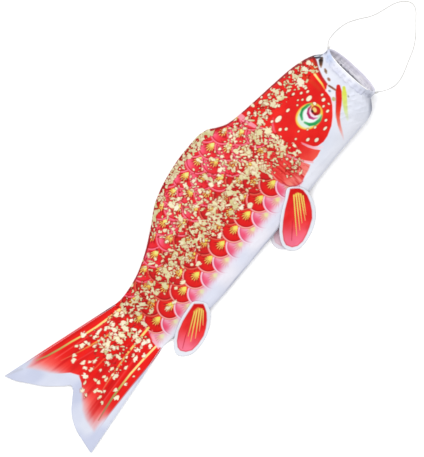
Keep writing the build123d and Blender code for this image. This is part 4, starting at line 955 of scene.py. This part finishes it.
base = mix((186, 189, 206), (209, 210, 220), np.clip(0.5 + noise(hv[:, 1] / 13, hv[:, 2] / 12, 92), 0, 1)) / 255.0
# painted light and shade: the lower inner face of the band, shaded by the upper rim, is painted lighter than the rest,
# and darker towards the lip where the light reaches it
lip_edge_painted_shade = np.tile(smooth(6.5, 2.5, profile[:, 0]), np_)[:, None]
lower_face_painted_light = mix((228, 226, 237), (243, 241, 248), np.clip(0.5 + noise(hv[:, 1] / 9, hv[:, 0] / 5, 93), 0, 1)) / 255.0
lower_face_painted_light = lower_face_painted_light * (1 - lip_edge_painted_shade * np.array((0.16, 0.165, 0.14)))
side_w = (smooth(RING_Z + 4, RING_Z - 18, hv[:, 2]) * np.tile(smooth(-0.2, -1.2, profile[:, 1]), np_))[:, None]
base = base * (1 - side_w) + lower_face_painted_light * side_w


def paint_light_and_shade(c, cx, cyy, rx, ry, col, al, mask):
    w = al * np.exp(-(((hv[:, 0] - cx) / rx) ** 2 + ((hv[:, 1] - cyy) / ry) ** 2)) * mask
    return c * (1 - w[:, None]) + np.array(col) / 255.0 * w[:, None]


# painted shade at the back and belly ends of the rim and at the crumpled back corner, and painted light along the
# middle of the rim
base = paint_light_and_shade(base, 303, 45, 7, 6, (158, 176, 210), 0.75, upper)
base = paint_light_and_shade(base, 303, -30, 9, 11, (152, 156, 170), 0.55, upper)
base = paint_light_and_shade(base, 292, 60, 4, 3, (84, 92, 112), 0.7, upper)
base = paint_light_and_shade(base, 305, 55, 2.6, 2.0, (70, 74, 90), 0.85, upper)
base = paint_light_and_shade(base, 301, -37, 4, 4, (120, 124, 140), 0.6, upper)
base = paint_light_and_shade(base, 302, 8, 5, 30, (216, 217, 222), 0.6, upper)
uvh = np.column_stack([np.repeat(0.01 + 0.98 * np.arange(np_) / np_, nu), np.tile(0.01 + 0.98 * np.arange(nu) / nu, np_)])
hem = build("mouth_hem_band", hv, [hem_F], [WHITE_SATIN], None, base, np.zeros(len(hv)), uvh)


# ------------------------------------------------------------------ stitches
def capsules(name, segs, r, mat):
    """Short rounded stitches, one mesh."""
    ring, V, F = 8, [], []
    n0 = 0
    for p, q in segs:
        p, q = np.array(p, float), np.array(q, float)
        d = q - p
        L = np.linalg.norm(d)
        if L < 1e-6:
            continue
        d = d / L
        a = np.cross(d, (0, 0, 1.0) if abs(d[2]) < 0.9 else (1.0, 0, 0))
        a /= np.linalg.norm(a)
        b = np.cross(d, a)
        prof = [(-r * 0.85, 0.3 * r), (-r * 0.5, 0.8 * r), (0, r), (L / 2, r * 1.08), (L, r), (L + r * 0.5, 0.8 * r), (L + r * 0.85, 0.3 * r)]
        ang = np.arange(ring) / ring * 2 * math.pi
        for s_, rr in prof:
            V.append(p + d * s_ + rr * (np.cos(ang)[:, None] * a + np.sin(ang)[:, None] * b))
        m = len(prof)
        for i in range(m - 1):
            for k in range(ring):
                F.append((n0 + i * ring + k, n0 + i * ring + (k + 1) % ring, n0 + (i + 1) * ring + (k + 1) % ring, n0 + (i + 1) * ring + k))
        F.append((n0, n0 + 2, n0 + 4, n0 + 6))
        n0 += m * ring
    V = np.concatenate(V)
    return build(name, V, [np.array(F)], [mat])


def along(P, pitch, length, skip=0.0):
    """Stitches of a given length at a given pitch along a path of points."""
    P = np.array(P, float)
    s = np.concatenate([[0], np.cumsum(np.linalg.norm(np.diff(P, axis=0), axis=1))])
    out = []
    at = skip
    while at + length < s[-1]:
        out.append(([np.interp(at, s, P[:, k]) for k in range(3)], [np.interp(at + length, s, P[:, k]) for k in range(3)]))
        at += pitch
    return out


# hem: the stitch line 7.3 mm behind the rim, outside and inside
tline = np.linspace(0, 2 * math.pi, 400)


def hem_point(tv, u, n):
    a, b = np.cos(tv) / RING_A, np.sin(tv) / RING_Z
    l = np.hypot(a, b)
    y, z = RING_Y + RING_A * np.cos(tv) + n * a / l, RING_Z + RING_Z * np.sin(tv) + n * b / l
    return np.stack([MOUTH_X - z * math.tan(LEAN) - u, y, np.clip(z, 0.3, None)], -1)


hem_stitches = capsules("hem_stitches", along(hem_point(tline, 7.35, -0.12), 3.2, 2.2) + along(hem_point(tline, 7.35, -1.75), 3.2, 2.2, 1.0), 0.28, THREAD)
xx = np.linspace(298, -174, 500)
st_ = station(xx)
dorsal = capsules("dorsal_seam_stitches", along(np.stack([xx, st_[0] - 0.2, st_[2] + 0.1], -1), 3.3, 2.3), 0.30, THREAD)
belly = capsules("belly_seam_stitches", along(np.stack([xx, st_[1] + 0.2, st_[2] + 0.1], -1), 3.3, 2.3), 0.30, THREAD)
tv = np.linspace(0.02, 0.985, 200)
edge_hi = np.stack([*tail_point(0.985 + 0 * tv, tv), tail_z(0.985 + 0 * tv, tv, 1) + 0.05], -1)
edge_lo = np.stack([*tail_point(0.015 + 0 * tv, tv), tail_z(0.015 + 0 * tv, tv, 1) + 0.05], -1)
tail_hi = capsules("tail_upper_stitches", along(edge_hi, 3.3, 2.3), 0.28, THREAD)
tail_lo = capsules("tail_lower_stitches", along(edge_lo, 3.3, 2.3), 0.28, THREAD)

# ------------------------------------------------------------------ fins
from mathutils import Vector
from mathutils.geometry import delaunay_2d_cdt

PECT = [(133, -53), (137, -64), (135, -74), (131, -84), (124, -94), (115, -102.5), (104, -109), (92, -113), (78, -115.5), (65, -114.5), (56, -108), (52.5, -98),
        (55.5, -88), (64, -77), (76, -67), (92, -56.5), (106, -49), (120, -41)]
PELV = [(-87, -67.5), (-88.5, -75), (-92.5, -83), (-100, -90), (-111, -97.5), (-125, -103.5), (-140, -106), (-155, -105.5), (-165, -100), (-170.5, -94), (-172, -87),
        (-166, -77.5), (-157, -70), (-145, -63.5), (-130, -58), (-115, -55), (-98, -54)]


def outline(pts, step):
    """A round curve through the points of a closed outline."""
    P = np.array(pts, float)
    n = len(P)
    out = []
    for i in range(n):
        p0, p1, p2, p3 = P[i - 1], P[i], P[(i + 1) % n], P[(i + 2) % n]
        m = max(2, int(np.linalg.norm(p2 - p1) / step))
        for k in range(m):
            u = k / m
            out.append(0.5 * ((2 * p1) + (p2 - p0) * u + (2 * p0 - 5 * p1 + 4 * p2 - p3) * u ** 2 + (-p0 + 3 * p1 - 3 * p2 + p3) * u ** 3))
    return np.array(out)


def fin(name, pts, canvas, place, zfun, mats, up, paint):
    """One layer of printed cloth. place moves the cut piece, zfun gives its height."""
    step = 0.95
    ring = outline(pts, step)
    lo, hi = ring.min(0), ring.max(0)
    gx, gy = np.meshgrid(np.arange(lo[0], hi[0], step), np.arange(lo[1], hi[1], step))
    gx = gx + (np.arange(gx.shape[0])[:, None] % 2) * step / 2
    d = sdf(ring, gx, gy)
    inner = np.column_stack([gx[d < -0.55 * step], gy[d < -0.55 * step]])
    allp = np.vstack([ring, inner])
    n = len(ring)
    v, e, faces, *_ = delaunay_2d_cdt([Vector(p) for p in allp], [(i, (i + 1) % n) for i in range(n)], [], 1, 1e-6)
    v = np.array([tuple(p) for p in v])
    F = np.array([f for f in faces if len(f) == 3])
    c, f = canvas.read(v[:, 0], v[:, 1])
    if paint is not None:
        c = paint(v, c)
    q = place(v)
    V = np.column_stack([q, zfun(q[:, 0], q[:, 1])])
    area = 0.5 * abs(np.sum(ring[:, 0] * np.roll(ring[:, 1], -1) - np.roll(ring[:, 0], -1) * ring[:, 1])) / 1e6
    return cloth(name, V, F, 0.30, mats, c, reverse_of(c, 0.72), f * 0, up=up), area, (hi - lo) / 1000.0


def edge_of(x):
    return station(x)[1]


def right_fin_z(reach, seed):
    def z(x, y):
        edge = edge_of(x)
        on = top_z(x, np.maximum(y, edge + 5)) + 1.0
        zf = top_z(x, edge + 5) + 1.0
        g = np.clip((edge + 5 - y) / reach, 0, 1)
        off = 1.3 + (zf - 1.3) * (1 - g) ** 1.25
        ripple = 0.55 * noise((x + y) / 16, (x - y) / 26, seed) * smooth(0.1, 0.5, g)
        return np.where(y > edge + 5, on, off) + 0.65 + np.abs(ripple)
    return z


def left_fin_z(seed):
    return lambda x, y: 0.45 + 0.25 * np.abs(noise(x / 18, y / 18, seed))


same = lambda v: v


def swung(v):
    a = math.radians(-11)
    m = np.array((126.5, -47.0))
    q = v - m
    q = np.column_stack([q[:, 0] * math.cos(a) - q[:, 1] * math.sin(a), q[:, 0] * math.sin(a) + q[:, 1] * math.cos(a)]) + m
    w = smooth(0, 22, np.linalg.norm(v - m, axis=1))[:, None]
    return v * (1 - w) + q * w


right_pect, pect_area, pect_flat = fin("right_pectoral_cloth", PECT, pect_art, same, right_fin_z(42, 101), [FINFACE, FINBACK], True, None)
right_pelv, pelv_area, pelv_flat = fin("right_pelvic_cloth", PELV, pelv_art, same, right_fin_z(34, 102), [FINFACE, FINBACK], True, None)
left_pect, _, _ = fin("left_pectoral_cloth", PECT, pect_art, swung, left_fin_z(103), [FINFACE, FINBACK], False, None)
left_pelv, _, _ = fin("left_pelvic_cloth", PELV, pelv_art, same, left_fin_z(104), [FINFACE, FINBACK], False, None)


def root_path(points, z):
    P = np.array(points, float)
    s = np.linspace(0, 1, 60)
    k = np.linspace(0, 1, len(P))
    x, y = np.interp(s, k, P[:, 0]), np.interp(s, k, P[:, 1])
    return np.stack([x, y, z(x, y)], -1)


rp_root = root_path([(131.5, -53.5), (127, -49.3), (120, -43)], lambda x, y: right_fin_z(42, 101)(x, y) + 0.1)
rv_root = root_path([(-89, -66.5), (-94, -60.5), (-99, -55.5)], lambda x, y: right_fin_z(34, 102)(x, y) + 0.1)
lp_root = root_path([(131.5, -53.5), (127, -49.3), (120, -43)], lambda x, y: 0.42 + 0 * x)
lv_root = root_path([(-89, -66.5), (-94, -60.5), (-99, -55.5)], lambda x, y: 0.42 + 0 * x)
rp_st = capsules("right_pectoral_stitches", along(rp_root, 2.6, 1.8), 0.26, THREAD)
rv_st = capsules("right_pelvic_stitches", along(rv_root, 2.6, 1.8), 0.26, THREAD)
lp_st = capsules("left_pectoral_stitches", along(lp_root, 2.6, 1.8), 0.24, THREAD)
lv_st = capsules("left_pelvic_stitches", along(lv_root, 2.6, 1.8), 0.24, THREAD)

# ------------------------------------------------------------------ bridle cord and its knots
CORD_D = 1.5
ROUTE = [(313.4, 57.6, 32.6), (316.0, 60.0, 23.5), (319.6, 62.6, 13.0), (327.0, 65.2, 3.4), (341.5, 65.8, 0.77), (360.0, 62.2, 0.77), (376.5, 52.8, 0.77),
         (393.0, 40.6, 0.77), (413.0, 34.6, 0.77), (432.5, 29.2, 0.77), (447.2, 16.0, 0.77), (446.6, 2.2, 0.77), (432.0, -10.6, 0.77), (416.5, -25.4, 0.77),
         (400.0, -36.6, 0.77), (380.5, -43.6, 0.77), (361.0, -51.8, 0.77), (344.0, -54.9, 0.77), (330.0, -51.0, 3.2), (321.2, -46.0, 12.0), (316.2, -42.4, 22.5),
         (313.4, -40.6, 32.4)]
cu = bpy.data.curves.new("bridle_line", "CURVE")
cu.dimensions = "3D"
cu.bevel_depth = CORD_D / 2000.0
cu.bevel_resolution = 4
cu.resolution_u = 10
cu.use_fill_caps = True
sp = cu.splines.new("NURBS")
sp.points.add(len(ROUTE) - 1)
for point, p in zip(sp.points, ROUTE):
    point.co = (*row_frame(p), 1.0)
sp.order_u = 3
sp.use_endpoint_u = True
cu.materials.append(STRING)
bridle = bpy.data.objects.new("bridle_line", cu)
bpy.context.scene.collection.objects.link(bridle)


def tube(P, r, ring=10):
    P = np.array(P, float)
    Tn = np.gradient(P, axis=0)
    Tn /= np.linalg.norm(Tn, axis=1)[:, None] + 1e-12
    rr = np.full(len(P), r) if np.isscalar(r) else np.array(r)
    a = np.cross(Tn[0], (0, 0, 1.0))
    a /= np.linalg.norm(a) + 1e-12
    V = []
    for i in range(len(P)):
        a = a - Tn[i] * np.dot(a, Tn[i])
        a /= np.linalg.norm(a) + 1e-12
        b = np.cross(Tn[i], a)
        ang = np.arange(ring) / ring * 2 * math.pi
        V.append(P[i] + rr[i] * (np.cos(ang)[:, None] * a + np.sin(ang)[:, None] * b))
    V = np.concatenate(V)
    F = [(i * ring + k, i * ring + (k + 1) % ring, (i + 1) * ring + (k + 1) % ring, (i + 1) * ring + k) for i in range(len(P) - 1) for k in range(ring)]
    return V, np.array(F)


def knot(name, centre, sign, seed, lead):
    """An overhand knot drawn tight, with a short frayed end."""
    r = np.random.default_rng(seed)
    c = np.array(centre, float)
    u = np.linspace(0, 2 * math.pi, 90)
    P = np.stack([np.sin(u) + 2 * np.sin(2 * u), np.cos(u) - 2 * np.cos(2 * u), -np.sin(3 * u) * 1.2], -1) * 0.48
    rot = np.array([[0, 0, 1.0], [1, 0, 0], [0, 1, 0]])
    V, F = tube(P @ rot.T + c, 0.62)
    Vs, Fs, n = [V], [F], len(V)
    for k in range(9):
        d = np.array((0.75 + 0.3 * r.uniform(-1, 1), sign * (0.35 + 0.5 * r.uniform(-1, 1)), -0.55 + 0.5 * r.uniform(-1, 1)))
        d /= np.linalg.norm(d)
        L = r.uniform(3.5, 7.5)
        q = np.linspace(0, 1, 12)[:, None]
        bend = np.array((r.uniform(-1, 1), r.uniform(-1, 1), r.uniform(-0.8, 0.1)))
        path = c + d * (q * L) + bend * (q ** 2) * 1.6
        V, F = tube(path, np.linspace(0.22, 0.08, 12), 6)
        Vs.append(V)
        Fs.append(F + n)
        n += len(V)
    # the string passes through the hem behind the hoop
    hole = RING_Y + sign * 46.2
    q = np.linspace(0, 1, 14)[:, None]
    path = (1 - q) ** 2 * c + 2 * q * (1 - q) * np.array((309.4, c[1] + sign * 0.3, c[2])) + q ** 2 * np.array((308.6, hole, c[2]))
    V, F = tube(path, 0.62)
    Vs.append(V)
    Fs.append(F + n)
    n += len(V)
    # and leads from the knot into the free line
    q = np.linspace(0, 1, 8)[:, None]
    V, F = tube(c * (1 - q) + np.array(lead, float) * q, 0.66)
    Vs.append(V)
    Fs.append(F + n)
    return build(name, np.concatenate(Vs), [np.concatenate(Fs)], [STRING])


knot_hi = knot("bridle_knot_back", (312.3, RING_Y + 48.1, 34.0), 1, 5, (313.5, 57.7, 32.3))
knot_lo = knot("bridle_knot_belly", (312.3, RING_Y - 48.1, 34.0), -1, 6, (313.5, -40.7, 32.1))

# ------------------------------------------------------------------ into the frame
for o, body, slot_name, nodes in (
    (hem, "body", "white_satin", ["mouth_hem"]),
    (hem_stitches, "body", "thread", ["hem_thread"]),
    (dorsal, "body", "thread", ["dorsal_seam_thread"]),
    (belly, "body", "thread", ["belly_seam_thread"]),
    (rp_st, "body", "thread", ["right_pectoral_stitch"]),
    (rv_st, "body", "thread", ["right_pelvic_stitch"]),
    (lp_st, "body", "thread", ["left_pectoral_stitch"]),
    (lv_st, "body", "thread", ["left_pelvic_stitch"]),
    (knot_hi, "body", "string", ["bridle_knot_dorsal"]),
    (knot_lo, "body", "string", ["bridle_knot_ventral"]),
    (bridle, "body", "string", ["bridle_cord"]),
    (tail_hi, "tail", "thread", ["tail_upper_seam_thread"]),
    (tail_lo, "tail", "thread", ["tail_lower_seam_thread"]),
    (right_pect, "right_pectoral", "fin_satin", ["right_pectoral_fin"]),
    (left_pect, "left_pectoral", "fin_satin", ["left_pectoral_fin"]),
    (right_pelv, "right_pelvic", "fin_satin", ["right_pelvic_fin"]),
    (left_pelv, "left_pelvic", "fin_satin", ["left_pelvic_fin"]),
):
    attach(o, body)
    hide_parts(*nodes)

for o, side in ((right_cloth, "right"), (left_cloth, "left")):
    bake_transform(o)
    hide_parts(side + "_body_panel", side + "_tail_panel")

hoop = next((o for o in bpy.data.objects if o.get("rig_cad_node") == "mouth_hoop" or o.name == "mouth_hoop"), None)
if hoop is not None:
    hoop.data.materials.clear()
    hoop.data.materials.append(PLASTIC)

# each fin with its flat size, its area and the pieces it rests on; the loop only turns the last into a list
for o, fl, ar, rest in ((right_pect, pect_flat, pect_area, ["right_cloth"]), (left_pect, pect_flat, pect_area, ["floor"]),
                        (right_pelv, pelv_flat, pelv_area, ["right_cloth"]), (left_pelv, pelv_flat, pelv_area, ["floor"])):
    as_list(rest)

# ------------------------------------------------------------------ stage
me = bpy.data.meshes.new("floor")
H = 30.0
me.from_pydata([(-H, -H, -0.0004), (H, -H, -0.0004), (H, H, -0.0004), (-H, H, -0.0004)], [], [(0, 1, 2, 3)])
floor = bpy.data.objects.new("floor", me)
bpy.context.scene.collection.objects.link(floor)
fm = bpy.data.materials.new("floor_paper")
fm.use_nodes = True
fb = fm.node_tree.nodes["Principled BSDF"]
fb.inputs["Base Color"].default_value = (0.97, 0.97, 0.97, 1)
fb.inputs["Roughness"].default_value = 1.0
fb.inputs["Specular IOR Level"].default_value = 0.0
me.materials.append(fm)

scene = bpy.context.scene
world = bpy.data.worlds.new("studio")
scene.world = world
world.use_nodes = True
bg = world.node_tree.nodes["Background"]
bg.inputs["Color"].default_value = (1, 1, 1, 1)
wn, wl = world.node_tree.nodes, world.node_tree.links
path, level_mix = wn.new("ShaderNodeLightPath"), wn.new("ShaderNodeMapRange")
level_mix.inputs["To Min"].default_value, level_mix.inputs["To Max"].default_value = 0.84, 1.05
wl.new(path.outputs["Is Camera Ray"], level_mix.inputs["Value"])
wl.new(level_mix.outputs["Result"], bg.inputs["Strength"])
scene.view_settings.view_transform = "Standard"


def area_light(name, at, size, power, target=(0.02, 0.0, 0.02)):
    d = bpy.data.lights.new(name, "AREA")
    d.shape, d.size, d.energy = "DISK", size, power
    o = bpy.data.objects.new(name, d)
    bpy.context.scene.collection.objects.link(o)
    o.location = at
    o.rotation_euler = (Vector(target) - Vector(at)).to_track_quat("-Z", "Y").to_euler()
    return o


key = area_light("key", (0.9, 1.1, 3.0), 2.6, 66)
fill = area_light("fill", (-1.2, -0.6, 3.0), 2.6, 18)
cam = bpy.data.cameras.new("camera")
D = 9.0
cam.sensor_fit, cam.sensor_height, cam.sensor_width = "VERTICAL", 36.0, 36.0
cam.lens = 36.0 * D / 0.6782
cam.clip_end = 60
camera = bpy.data.objects.new("camera", cam)
scene.collection.objects.link(camera)
from mathutils import Matrix
right, upv = Vector((0.682, -0.7314, 0)).normalized(), Vector((0.7314, 0.682, 0)).normalized()
back = right.cross(upv)
camera.matrix_world = Matrix(((right[0], upv[0], back[0], X0 / 1000), (right[1], upv[1], back[1], Y0 / 1000), (right[2], upv[2], back[2], D), (0, 0, 0, 1)))
scene.camera = camera
